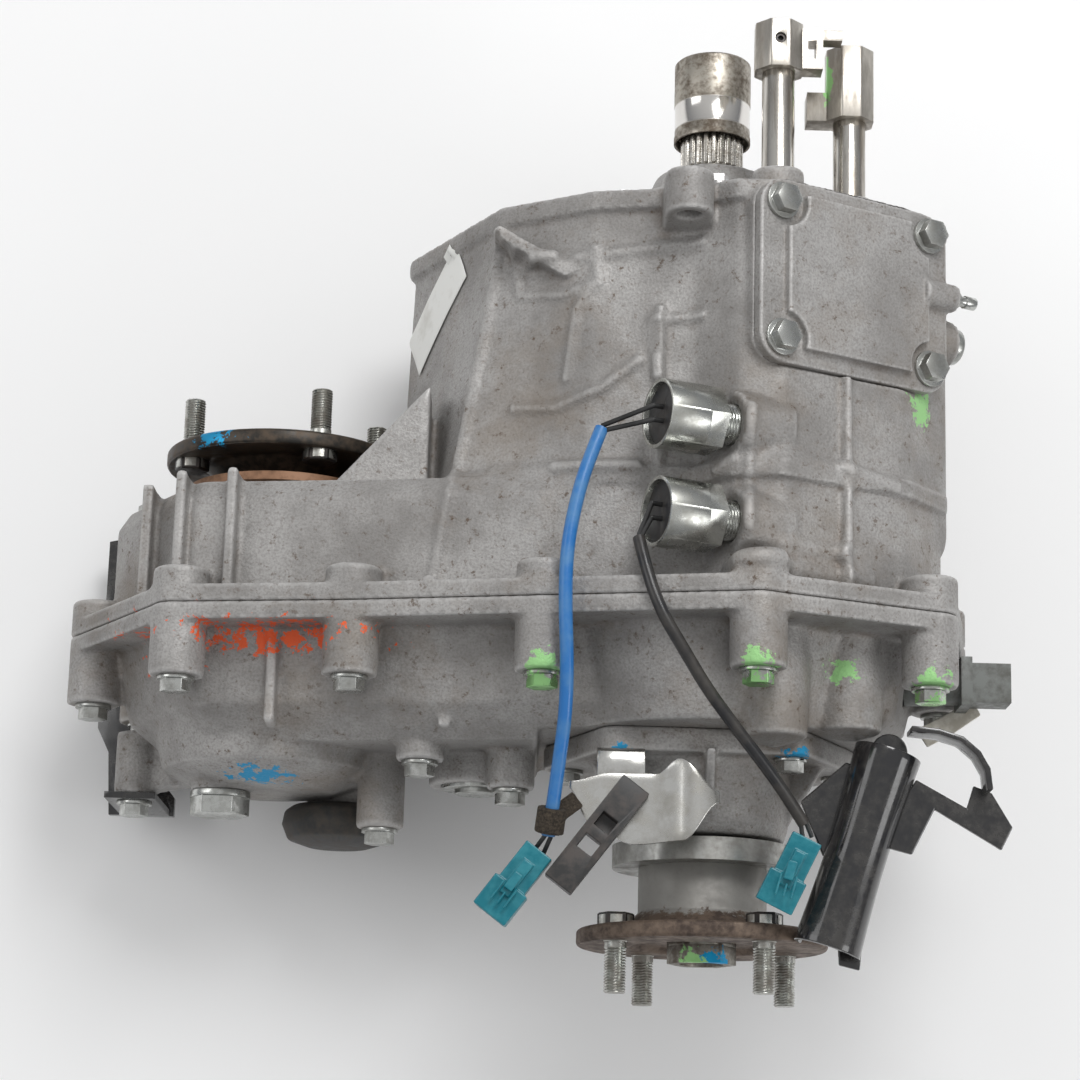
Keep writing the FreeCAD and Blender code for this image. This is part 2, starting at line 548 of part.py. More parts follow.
def bearing_retainer():
    body = turned([(22.2, 0), (RETAINER_R, 0), (RETAINER_R, RETAINER_FACE_Y),
                   (RETAINER_R - 13, RETAINER_FACE_Y), (RETAINER_R - 21, 14), (RETAINER_R - 27, RETAINER_NOSE_Y),
                   (22.2, RETAINER_NOSE_Y)])
    return body.cut([tube(-1, RETAINER_FACE_Y + 1, 3.2, turn_point(RETAINER_R - 6, 60 * i)) for i in range(6)])


def retainer_bolts():
    bolts = []
    for i in range(6):
        x, z = turn_point(RETAINER_R - 6, 60 * i)
        bolts.append(flange_bolt(V(x, RETAINER_FACE_Y, z), V(0, 1, 0), 3, 18))
    return Part.makeCompound(bolts)


def bearing(stations):
    """Closed ball bearing: two races and a shielded middle, on one running bore."""
    rear, front, outer, inner = stations
    step = (outer - inner) / 4
    bore = inner + RUN_GAP
    return turned([(bore, rear), (inner + step, rear), (inner + step, rear + 1), (outer - step, rear + 1),
                   (outer - step, rear), (outer, rear), (outer, front), (outer - step, front),
                   (outer - step, front - 1), (inner + step, front - 1), (inner + step, front), (bore, front)],
                  FRONT if stations in (FRONT_BEARING, FRONT_END_BEARING) else MAIN)


def seal(y0, y1, outer, inner, at=MAIN):
    """Lip seal: a steel-backed rubber ring with a dished outer face."""
    middle = (outer + inner) / 2
    return turned([(inner + RUN_GAP, y0), (outer, y0), (outer, y1), (middle, y1 - 1.5 * (y1 > y0) + 1.5 * (y1 < y0)),
                   (inner + RUN_GAP, y1)], at)


def case_bolts():
    bolts = [flange_bolt(V(x, CASE_BOLT_SEAT_Y, z), V(0, -1, 0), BOLT_R, 44) for x, z in CASE_BOLTS]
    bolts += [flange_bolt(V(p[0], seat, p[1]), V(0, -1, 0), BOLT_R, 16) for p, seat in COVER_SIDE_BOLTS]
    bolts.append(flange_bolt(V(SIDE_BOLT[0], SIDE_BOLT_SEAT_Y - 3, SIDE_BOLT[1]), V(0, -1, 0), BOLT_R, 20))
    bolts.append(flange_bolt(V(GUARD_BOLT[0], LOBE_FRONT_Y + 3, GUARD_BOLT[1]), V(0, 1, 0), BOLT_R, 12))
    return Part.makeCompound(bolts)


def tail_bolts():
    seats = [TAIL_FLANGE_Y - SHIELD_SHEET] + [TAIL_FLANGE_Y] * (len(TAIL_BOLTS) - 1)
    return Part.makeCompound([flange_bolt(V(x, seat, z), V(0, -1, 0), TAIL_BOLT_R, 20)
                              for (x, z), seat in zip(TAIL_BOLTS, seats)])


def shift_cover():
    plate = cover_plate(COVER_BOLT_U + 11, COVER_BOLT_V + 11, 0, COVER_THICKNESS, 13)
    panel = cover_plate(COVER_BOLT_U - 2, COVER_BOLT_V + 4, COVER_THICKNESS - 1, COVER_THICKNESS + 4, 5)
    for u, v in COVER_CORNERS:
        panel = panel.cut(bar(cover_point(u, v, 0), cover_point(u, v, 20), 12))
    boss = bar(nozzle_point(-19), nozzle_point(0), NOZZLE_BOSS_R)
    cover = fuse(plate, panel, boss)
    cuts = [bar(cover_point(u, v, -1), cover_point(u, v, 9), BOLT_R + BOLT_GAP) for u, v in COVER_CORNERS]
    trim = block(-400, 400, ADAPTER_Y, 100, -200, 200)
    return cover.cut(cuts + [trim, bar(nozzle_point(-6), nozzle_point(8), 2.5)])


def nozzle_point(out):
    """Point on the breather nozzle's axis, counted outwards from its seat on the cover."""
    return cover_point(COVER_BOLT_U + 14 + out, 4, NOZZLE_BOSS_R + 0.2)


def cover_bolts():
    return Part.makeCompound([flange_bolt(cover_point(u, v, COVER_THICKNESS), COVER_OUT, BOLT_R, 12)
                              for u, v in COVER_CORNERS])


def breather_nozzle():
    return fuse(bar(nozzle_point(-6), nozzle_point(7), 2.5), bar(nozzle_point(0), nozzle_point(2), 4),
                bar(nozzle_point(6), nozzle_point(12), 3))


def gear_ring():
    blank = tube(GEAR_REAR_Y, GEAR_FRONT_Y, RING_OUT_R)
    gap_turn = 0.0
    space = toothed(RING_TEETH, RING_R - MODULE, RING_R + 1.25 * MODULE, 0.80, GEAR_REAR_Y - 1, GEAR_FRONT_Y + 1,
                    MAIN, ring_gap_turn(gap_turn), 0.38)
    return blank.cut(space)


def planet_phase(where):
    """Turn of a planet's first tooth, so that its gaps face the sun's teeth."""
    sun_step = 360.0 / SUN_TEETH
    planet_step = 360.0 / PLANET_TEETH
    share = where / sun_step
    share -= math.floor(share)
    return where + 180 + share * planet_step + planet_step / 2


def ring_gap_turn(where):
    """Turn of a gap of the ring gear, so that it takes the tooth of the planet at that place."""
    planet_step = 360.0 / PLANET_TEETH
    offset = (planet_phase(where) - where) % planet_step
    return where + offset * PLANET_R / RING_R


def planet(index):
    where = 360.0 / PLANET_COUNT * index
    centre = turn_point(PLANET_ORBIT, where)
    gear = toothed(PLANET_TEETH, PLANET_R - 1.25 * MODULE, PLANET_R + MODULE * 0.9, 0.62, GEAR_REAR_Y + 0.5,
                   GEAR_FRONT_Y - 0.5, centre, planet_phase(where), 0.33)
    return gear.cut(tube(GEAR_REAR_Y, GEAR_FRONT_Y, PLANET_PIN_R + RUN_GAP, centre))


def planet_carrier():
    front = tube(GEAR_FRONT_Y + 1.5, GEAR_FRONT_Y + 1.5 + CARRIER_PLATE, CARRIER_R, MAIN, INPUT_STEP_R + 1)
    rear = tube(GEAR_REAR_Y - 1.5, GEAR_REAR_Y - 1.5 - CARRIER_PLATE, CARRIER_R, MAIN, DOG_R + 2)
    drum = tube(GEAR_REAR_Y - 1.5 - CARRIER_PLATE, -62, DOG_R + 9, MAIN, DOG_R + 2)
    dogs = tube(-57, -62, DOG_R + 9, MAIN, DOG_R + 0.1)
    posts = [tube(GEAR_FRONT_Y + 2, GEAR_REAR_Y - 2, 4.3, turn_point(PLANET_ORBIT - 1, where))
             for where in planet_places(180.0 / PLANET_COUNT)]
    carrier = fuse(front, rear, drum, dogs, *posts)
    pins = [tube(-10, -60, PLANET_PIN_R, turn_point(PLANET_ORBIT, where)) for where in planet_places(0)]
    return carrier.cut(pins)


def planet_places(turn):
    return [360.0 / PLANET_COUNT * i + turn for i in range(PLANET_COUNT)]


def planet_pins():
    return Part.makeCompound([tube(GEAR_FRONT_Y + 1.5 + CARRIER_PLATE, GEAR_REAR_Y - 1.5 - CARRIER_PLATE,
                                   PLANET_PIN_R, turn_point(PLANET_ORBIT, where)) for where in planet_places(0)])


def input_shaft():
    front = turned([(0, 66), (SHAFT_R - 2, 66), (SHAFT_R - 1.2, 64), (SHAFT_R - 1.2, SPLINE_REAR_Y), (NECK_R, 33),
                    (NECK_R, 0.5), (BEARING_SHAFT_R, 0.5), (BEARING_SHAFT_R, ADAPTER_Y - 18), (INPUT_STEP_R, ADAPTER_Y - 18),
                    (INPUT_STEP_R, GEAR_REAR_Y - 0.5), (0, GEAR_REAR_Y - 0.5)])
    sun = toothed(SUN_TEETH, SUN_R - 1.25 * MODULE, SUN_R + MODULE * 0.9, 0.70, GEAR_REAR_Y, GEAR_FRONT_Y, MAIN, 0.0, 0.36)
    splines = toothed(24, SHAFT_R - 1.2, SHAFT_R, 0.7, SPLINE_REAR_Y, 64, MAIN, 0.0, 0.6)
    shaft = fuse(front, sun, splines)
    return shaft.cut([tube(GEAR_REAR_Y - 1, DOG_FRONT_Y + 1, DOG_R + 0.1), tube(-40, -25, PILOT_R + RUN_GAP)])


def input_sleeve():
    return turned([(SHAFT_R + RUN_GAP, SLEEVE_REAR_Y + 6), (SHAFT_R + 2, SLEEVE_REAR_Y + 4),
                   (SHAFT_R + 2.4, SLEEVE_REAR_Y), (SLEEVE_R, SLEEVE_REAR_Y), (SLEEVE_R, SLEEVE_REAR_Y + 3),
                   (SLEEVE_R - 0.3, SLEEVE_REAR_Y + 3.5), (SLEEVE_R - 0.3, SLEEVE_REAR_Y + 18),
                   (SLEEVE_R, SLEEVE_REAR_Y + 19), (SLEEVE_R, SLEEVE_FRONT_Y - 1), (SLEEVE_R - 1, SLEEVE_FRONT_Y),
                   (SPLINE_R, SLEEVE_FRONT_Y), (SPLINE_R, SPLINE_END_Y), (SHAFT_R + RUN_GAP, SPLINE_END_Y)])


def output_shaft():
    return turned([(0, -26), (PILOT_R, -26), (PILOT_R, DOG_FRONT_Y + 0.5), (SHAFT_R, DOG_FRONT_Y + 0.5),
                   (SHAFT_R, REAR_FLANGE_Y + FLANGE_THICKNESS - 4), (9.9, REAR_FLANGE_Y + FLANGE_THICKNESS - 4),
                   (9.9, REAR_FLANGE_Y - 3), (8.5, REAR_FLANGE_Y - 4.5), (0, REAR_FLANGE_Y - 4.5)])


def centre_differential():
    return turned([(SHAFT_R, LOCK_COLLAR_Y[0] + 1), (LOCK_HUB_R, LOCK_COLLAR_Y[0] + 1), (LOCK_HUB_R, DIFF_FACE_Y),
                   (DIFF_R - 6, DIFF_FACE_Y), (DIFF_R, DIFF_FACE_Y - 6), (DIFF_R, DIFF_REAR_Y + 6),
                   (DIFF_R - 6, DIFF_REAR_Y), (SHAFT_R, DIFF_REAR_Y)])


def sprocket(at, hub_front, hub_rear):
    wheel = toothed(SPROCKET_TEETH, SPROCKET_R - 3.2, SPROCKET_R + 1.2, 0.7, CHAIN_Y + CHAIN_WIDTH / 2,
                    CHAIN_Y - CHAIN_WIDTH / 2, at, 0.0, 0.4)
    return fuse(wheel, tube(hub_front, hub_rear, SHAFT_R + 9, at)).cut(tube(hub_front, hub_rear, SHAFT_R, at))


def drive_chain():
    """Silent chain: one plate pack a link, laid round both sprockets and along the two runs."""
    along = V(FRONT[0], 0, FRONT[1]).normalize()
    across = V(-along.z, 0, along.x)
    wrap = SPROCKET_TEETH / 2
    total = 2 * (HALF_LINKS + wrap)
    links = []
    for i in range(CHAIN_LINKS):
        place = (i + 0.25) * total / CHAIN_LINKS
        if place < HALF_LINKS:
            centre = along * (place * CHAIN_PITCH) + across * CHAIN_R
            out = across
        elif place < HALF_LINKS + wrap:
            turn = math.pi * (place - HALF_LINKS) / wrap
            out = across * math.cos(turn) + along * math.sin(turn)
            centre = along * CENTRES + out * CHAIN_R
        elif place < 2 * HALF_LINKS + wrap:
            centre = along * (CENTRES - (place - HALF_LINKS - wrap) * CHAIN_PITCH) - across * CHAIN_R
            out = across * -1
        else:
            turn = math.pi * (place - 2 * HALF_LINKS - wrap) / wrap
            out = across * -math.cos(turn) - along * math.sin(turn)
            centre = out * CHAIN_R
        link = Part.makeBox(CHAIN_PITCH - 0.7, CHAIN_WIDTH, LINK_THICKNESS,
                            V(-(CHAIN_PITCH - 0.7) / 2, -CHAIN_WIDTH / 2, 0))
        turn_angle = math.degrees(math.atan2(out.x, out.z))
        link.Placement = FreeCAD.Placement(centre + V(0, CHAIN_Y, 0), FreeCAD.Rotation(V(0, 1, 0), turn_angle))
        links.append(link)
    return Part.makeCompound(links)


def companion_flange(face_y, hub_end_y, at, turn):
    """Output flange: a turned hub, four stud holes and a recess for the shaft nut."""
    out = 1 if face_y > hub_end_y else -1
    back = face_y - out * FLANGE_THICKNESS
    body = turned([(SHAFT_R, hub_end_y), (HUB_R - 2, hub_end_y), (HUB_R - 2, hub_end_y + out * 8),
                   (HUB_R, hub_end_y + out * 8), (HUB_R, back - out * 8), (HUB_R + 8, back),
                   (FLANGE_R - 1, back), (FLANGE_R, back + out), (FLANGE_R, face_y - out), (FLANGE_R - 1, face_y),
                   (32, face_y), (30, face_y - out * 3), (SHAFT_R, face_y - out * 3)], at)
    return body.cut([tube(face_y - 20, face_y + 20, KNURL_R, turn_point(STUD_CIRCLE_R, turn + 90 * i, at))
                     for i in range(4)])


def flange_studs(face_y, out, at, turn):
    studs = []
    for i in range(4):
        x, z = turn_point(STUD_CIRCLE_R, turn + 90 * i, at)
        back = face_y - out * FLANGE_THICKNESS
        stud = Part.makeCylinder(STUD_R, STUD_OUT - 1.2, V(0, 0, FLANGE_THICKNESS))
        knurl = Part.makeCylinder(KNURL_R, FLANGE_THICKNESS)
        tip = Part.makeCone(STUD_R, STUD_R - 1.2, 1.2, V(0, 0, FLANGE_THICKNESS + STUD_OUT - 1.2))
        head = Part.makeCylinder(7.6, 4.6, V(0, 0, -4.6))
        one = fuse(knurl, stud, tip, head)
        one.Placement = FreeCAD.Placement(V(x, back, z), FreeCAD.Rotation(V(0, 0, 1), V(0, out, 0)))
        studs.append(one)
    return Part.makeCompound(studs)


def shaft_nut(seat_y, out, at):
    nut = fuse(hexagon(27, 10), Part.makeCylinder(15, 2)).cut(Part.makeCylinder(9.9, 12, V(0, 0, -1)))
    nut.Placement = FreeCAD.Placement(V(at[0], seat_y, at[1]), FreeCAD.Rotation(V(0, 0, 1), V(0, out, 0)))
    return nut


def front_shaft():
    end = FRONT_FLANGE_Y - 3
    return turned([(0, end + 10), (8.5, end + 10), (9.9, end + 8.5), (9.9, end), (SHAFT_R, end),
                   (SHAFT_R, FRONT_END_BEARING[0] - 1), (0, FRONT_END_BEARING[0] - 1)], FRONT)


def deflector(y0, y1, outer, at):
    """Pressed dust ring on the hub."""
    out = 1 if y1 > y0 else -1
    return turned([(HUB_R, y0), (outer, y0), (outer, y1), (outer - 2, y1), (outer - 2, y0 + out * 2),
                   (HUB_R + 2, y0 + out * 2), (HUB_R + 2, y1 - out * 1), (HUB_R, y1 - out * 1)], at)


def collar(stations, bore, profile_front):
    front, rear = stations
    mid = (front + rear) / 2
    half = GROOVE_WIDTH / 2
    return turned(profile_front + [(COLLAR_R, front), (COLLAR_R, mid + half), (GROOVE_R, mid + half),
                                   (GROOVE_R, mid - half), (COLLAR_R, mid - half), (COLLAR_R, rear),
                                   (bore + RUN_GAP, rear)])


def range_collar():
    front = RANGE_COLLAR_Y[0]
    return collar(RANGE_COLLAR_Y, SHAFT_R, [(SHAFT_R + RUN_GAP, DOG_FRONT_Y), (DOG_R, DOG_FRONT_Y),
                                            (DOG_R, DOG_FRONT_Y - DOG_LENGTH), (18.2, DOG_FRONT_Y - DOG_LENGTH),
                                            (18.2, front)])


def lock_collar():
    return collar(LOCK_COLLAR_Y, LOCK_HUB_R, [(LOCK_HUB_R + RUN_GAP, LOCK_COLLAR_Y[0])])


def shift_rod(at, front_y, rear_y):
    rod = tube(rear_y, front_y, ROD_R, at)
    notches = [tube(rear_y + 30 + step, rear_y + 33 + step, ROD_R + 1, at, ROD_R - 1) for step in (0, 9, 18)]
    return rod.cut(notches)


def shift_fork(stations, at, boss_r):
    """Fork: a boss clamped on the rod and a half ring that runs in the collar's groove."""
    mid = (stations[0] + stations[1]) / 2
    half = GROOVE_WIDTH / 2 - 0.3
    reach = math.hypot(at[0], at[1])
    ring = tube(mid - half, mid + half, COLLAR_R + 9, MAIN, GROOVE_R + FREE_GAP)
    direction = math.degrees(math.atan2(at[0], at[1]))
    blade = block(-13, 13, mid - half, mid + half, GROOVE_R + 5, reach)
    half_plane = block(-80, 80, mid - 10, mid + 10, -6, 80)
    for piece in (blade, half_plane):
        piece.rotate(V(0, 0, 0), V(0, 1, 0), direction)
    ring = ring.common(half_plane)
    fork = fuse(ring, blade, tube(mid - 9, mid + 9, boss_r, at))
    outside = tube(mid - 12, mid - half, COLLAR_R + FREE_GAP)
    outside2 = tube(mid + half, mid + 12, COLLAR_R + FREE_GAP)
    return fork.cut([outside, outside2, tube(mid - 12, mid + 12, ROD_R, at)])


def range_head():
    y0, y1 = RANGE_HEAD_Y
    x, z = RANGE_ROD
    body = prism(octagon(x, z, HEAD_R), y0, y1, 2)
    web = block(x + HEAD_R - 3, x + HEAD_R + 9, y0 + 1, y1 - 2, z - 5, z + 5)
    window = block(x + HEAD_R + 2, x + HEAD_R + 6, y0 + 6, y1 - 8, z - 6, z + 6)
    finger = block(x + HEAD_R + 5, x + HEAD_R + 18, y1 - 7.5, y1 - 2.5, z - 3.5, z + 4.5)
    screw = bar(V(x, (y0 + y1) / 2 + 2, z), V(x, (y0 + y1) / 2 + 2, z + 20), 2.6)
    return fuse(body, web, finger).cut([window, screw, tube(y0, y1 - 3, ROD_R, RANGE_ROD)])


def lock_head():
    y0, y1 = LOCK_HEAD_Y
    x, z = LOCK_ROD
    body = prism(octagon(x, z, HEAD_R), y0, y1, 2)
    tab = block(x - HEAD_R + 3, x - HEAD_R - 9, y0, y0 + 14, z - 8, z + 4)
    screw = bar(V(x, (y0 + y1) / 2, z), V(x + 20, (y0 + y1) / 2, z), 2.6)
    return fuse(body, tab).cut([screw, tube(y0, y1 - 3, ROD_R, LOCK_ROD)])


def octagon(x, z, r):
    return [(x + r * math.cos(math.radians(112.5 - 45 * i)) * 1.08, z + r * math.sin(math.radians(112.5 - 45 * i)) * 1.08)
            for i in range(8)]


def switch_body(y):
    thread = fuse(bar(switch_point(y, -14), switch_point(y, 0.5), SWITCH_THREAD_R),
                  bar(switch_point(y, 0), switch_point(y, 10), SWITCH_ROOT_R))
    nut = hexagon(27, 10)
    nut.Placement = FreeCAD.Placement(switch_point(y, 8), FreeCAD.Rotation(V(0, 0, 1), SWITCH_OUT))
    cup = bar(switch_point(y, 17), switch_point(y, 36), SWITCH_CUP_R)
    hollow = bar(switch_point(y, 22), switch_point(y, 37), SWITCH_CUP_R - 1.6)
    return fuse(thread, nut, cup).cut(hollow)


def switch_insulator(y):
    body = bar(switch_point(y, 22), switch_point(y, 33.5), SWITCH_CUP_R - 1.6 - SEAT_GAP)
    return body.cut([bar(p, p + SWITCH_OUT * 6, 1.1) for p in lead_starts(y)])


def lead_starts(y):
    return [switch_point(y + side * 3.2, 32) for side in (-1, 1)]


def leads(y, end):
    """Two thin insulated leads from a switch's face to its sleeve."""
    run = []
    for start, side in zip(lead_starts(y), (-1, 1)):
        bend = start + SWITCH_OUT * 6
        finish = end + V(0, side * 1.15, 0)
        run.append(fuse(bar(start, bend, 1.1), bar(bend, finish, 1.1), Part.makeSphere(1.1, bend)))
    return run


def cord_tube(name, route, r):
    """Tube of straight runs joined by tangent arcs, each as large as its two runs allow."""
    points = [V(*p) for p in route]
    edges = []
    start = points[0]
    radii = []
    for i in range(1, len(points) - 1):
        before = (points[i - 1] - points[i])
        after = (points[i + 1] - points[i])
        back = 0.45 * min(before.Length, after.Length)
        half = before.getAngle(after) / 2
        radius = back * math.tan(half)
        one = before.normalize()
        two = after.normalize()
        middle = points[i] + (one + two).normalize() * (radius / math.sin(half) - radius)
        edges.append(Part.LineSegment(start, points[i] + one * back).toShape())
        edges.append(Part.Arc(points[i] + one * back, middle, points[i] + two * back).toShape())
        start = points[i] + two * back
        radii.append(round(radius, 1))
    edges.append(Part.LineSegment(start, points[-1]).toShape())
    path = Part.Wire(edges)
    disc = Part.Wire([Part.Circle(points[0], points[1] - points[0], r).toShape()])
    solid = upright(path.makePipeShell([disc], True, False))
    print(name, "bend radii", radii, "length", round(path.Length, 1),
          "volume share", round(solid.Volume / (math.pi * r * r * path.Length), 4))
    return solid


def connector(start, end, width, depth, drop):
    """Moulded cable connector: a mouth block, a narrower body and a latch on top."""
    run = end - start
    length = run.Length
    body = Part.makeBox(length * 0.62, width * 0.8, depth * 0.8, V(0, -width * 0.4, -depth * 0.4))
    mouth = Part.makeBox(length * 0.45, width, depth, V(length * 0.55, -width / 2, -depth / 2))
    latch = Part.makeBox(length * 0.5, width * 0.3, 3, V(length * 0.2, -width * 0.15, depth * 0.4))
    slot = Part.makeBox(length * 0.3, width - 3, depth - 3, V(length * 0.8, -width / 2 + 1.5, -depth / 2 + 1.5))
    one = fuse(body, mouth, latch).cut(slot)
    angle = math.degrees(math.atan2(run.y, run.x))
    turn = FreeCAD.Rotation(V(0, 0, 1), angle).multiply(FreeCAD.Rotation(V(0, 1, 0), drop))
    one.Placement = FreeCAD.Placement(start, turn)
    return one


def cable_leads(start, end):
    side = V(-(end - start).y, (end - start).x, 0).normalize()
    return [bar(start + side * (1.2 * k), end + side * (2.0 * k), 1.0) for k in (-1, 1)]


def tape_wrap():
    a, b = V(*BLUE_ROUTE[-2]), V(*BLUE_ROUTE[-1])
    middle = a + (b - a) * 0.6
    along = (b - a).normalize()
    band = bar(middle - along * 5.5, middle + along * 5.5, 6.4, BLUE_R)
    tail = Part.makeBox(9, 8, 1.4, V(0, -4, -0.7))
    tail.Placement = FreeCAD.Placement(middle + V(4.5, 4, 0), FreeCAD.Rotation(V(0, 0, 1), 38))
    return fuse(band, tail)


def cable_clip():
    """Plastic clip: a ladder-shaped bar that hooks on the shield plate's edge."""
    start, end = V(-33, -274, SHIELD_Z + 7.5), V(-66, -318, SHIELD_Z + 7.5)
    run = end - start
    bar_body = Part.makeBox(run.Length, 14, 8, V(0, -7, -4))
    windows = [Part.makeBox(7, 8, 10, V(6 + 12 * i, -4, -5)) for i in range(4)]
    foot = Part.makeBox(16, 8, 3, V(14, -4, -5))
    one = fuse(bar_body.cut(windows[1:3]), foot)
    one.Placement = FreeCAD.Placement(start, FreeCAD.Rotation(V(0, 0, 1), math.degrees(math.atan2(run.y, run.x))))
    return one


def shield_plate():
    """Bent zinc plate over the tail housing, bolted under two of its flange bolts."""
    outline = [(-76, -268), (-60, -292), (-30, -301), (-6, -292), (4, -272), (-4, -262), (-24, -266), (-46, -262)]
    top = slab(outline, SHIELD_Z, SHIELD_Z + SHIELD_SHEET)
    ear = block(-50, -29, TAIL_FLANGE_Y, TAIL_FLANGE_Y - SHIELD_SHEET, 32, SHIELD_Z + SHIELD_SHEET)
    bend = block(-50, -29, TAIL_FLANGE_Y, -268, SHIELD_Z, SHIELD_Z + SHIELD_SHEET)
    plate = fuse(top, ear, bend)
    return plate.cut(tube(TAIL_FLANGE_Y + 1, TAIL_FLANGE_Y - 3, TAIL_BOLT_R + BOLT_GAP, TAIL_BOLTS[0]))


def fill_plug():
    return fuse(tube(PLUG_SEAT_Y + 14, PLUG_SEAT_Y, 9, DRAIN), tube(PLUG_SEAT_Y, PLUG_SEAT_Y - 3, 14, DRAIN),
                placed_hexagon(V(DRAIN[0], PLUG_SEAT_Y - 3, DRAIN[1]), 24, 8))


def placed_hexagon(at, across, height):
    nut = hexagon(across, height)
    nut.Placement = FreeCAD.Placement(at, FreeCAD.Rotation(V(0, 0, 1), V(0, -1, 0)))
    return nut


def plug_point(out):
    """Point on the detent plug's axis, which runs from the lock rod out of the casing's side."""
    away = (V(LOCK_PLUG[0], 0, LOCK_PLUG[1]) - V(LOCK_ROD[0], 0, LOCK_ROD[1])).normalize()
    return V(LOCK_PLUG[0], LOCK_PLUG_Y, LOCK_PLUG[1]) + away * out


def detent_plug():
    return fuse(bar(plug_point(-12), plug_point(0), PLUG_R), bar(plug_point(0), plug_point(4), PLUG_R + 2))


def port_cap():
    return fuse(tube(PORT_END_Y + 5, PORT_END_Y - 1, PORT_R - 6 - SEAT_GAP, PORT),
                tube(PORT_END_Y - 1, PORT_END_Y - 3, PORT_R - 12, PORT))


def speed_sensor():
    """Speed sensor in the right side of the rear case, with its side-facing socket."""
    stem = bar(V(90, SENSOR_Y, 13.5), V(118, SENSOR_Y, 20.5), 9)
    socket = block(116, 136, SENSOR_Y - 9, SENSOR_Y + 9, 12, 28)
    lip = block(113, 118, SENSOR_Y - 11, SENSOR_Y + 11, 9, 32)
    return fuse(stem, socket, lip)


def harness_bracket():
    """Painted sheet bracket: a deep channel leg, a curved arm and two tabs."""
    leg = slab([(45, -272), (73, -246), (95, -242), (84, -290), (64, -350), (38, -338), (50, -300)],
               BRACKET_Z, BRACKET_Z + 3)
    wall_l = slab([(45, -272), (50, -300), (38, -338), (41, -338), (53, -300), (48, -272)], BRACKET_Z, BRACKET_Z + 12)
    wall_r = slab([(95, -242), (84, -290), (64, -350), (61, -350), (81, -290), (92, -242)], BRACKET_Z, BRACKET_Z + 14)
    arm = slab([(91, -243), (110, -248), (123, -262), (122, -273), (116, -273), (116, -263), (106, -254), (91, -250)],
               BRACKET_Z + 1, BRACKET_Z + 22)
    link = slab([(115, -268), (123.5, -271), (133, -286), (127, -297), (98, -279), (88, -297), (83, -290), (90, -266),
                 (112, -278)], BRACKET_Z, BRACKET_Z + 3)
    foot = bar(V(79, -252, 30), V(79, -252, BRACKET_Z), 8)
    return fuse(leg, wall_l, wall_r, arm, link, foot).cut(block(92, 97, -289, -284, 0, 100))


def side_bracket():
    """Painted steel guard below the front output, on one ear at each end."""
    low, high = GUARD_Z, GUARD_Z + 5
    plate = slab([(-294, LOBE_FRONT_Y + 3), (-272, LOBE_FRONT_Y + 8), (-262, LOBE_FRONT_Y + 3), (-262, -250),
                  (-254, -260), (-254, SIDE_BOLT_SEAT_Y - 3), (-286, SIDE_BOLT_SEAT_Y - 3), (-288, -238),
                  (-294, -226)], low, high)
    x, z = SIDE_BOLT
    back = block(x - 13, x + 11, SIDE_BOLT_SEAT_Y, SIDE_BOLT_SEAT_Y - 3, low, z + 11)
    front = block(x - 6, x + 5, LOBE_FRONT_Y, LOBE_FRONT_Y + 3, low, z + 11)
    holes = [tube(SIDE_BOLT_SEAT_Y + 1, SIDE_BOLT_SEAT_Y - 4, BOLT_R + BOLT_GAP, SIDE_BOLT),
             tube(LOBE_FRONT_Y - 1, LOBE_FRONT_Y + 4, BOLT_R + BOLT_GAP, GUARD_BOLT)]
    return fuse(plate, back, front).cut(holes)


def mass_damper():
    seat = DAMPER_SEAT_Y
    return turned([(0, seat), (22, seat), (26, seat - 3), (27, seat - 9), (24, seat - 16), (15, seat - 19),
                   (0, seat - 19)], DAMPER)


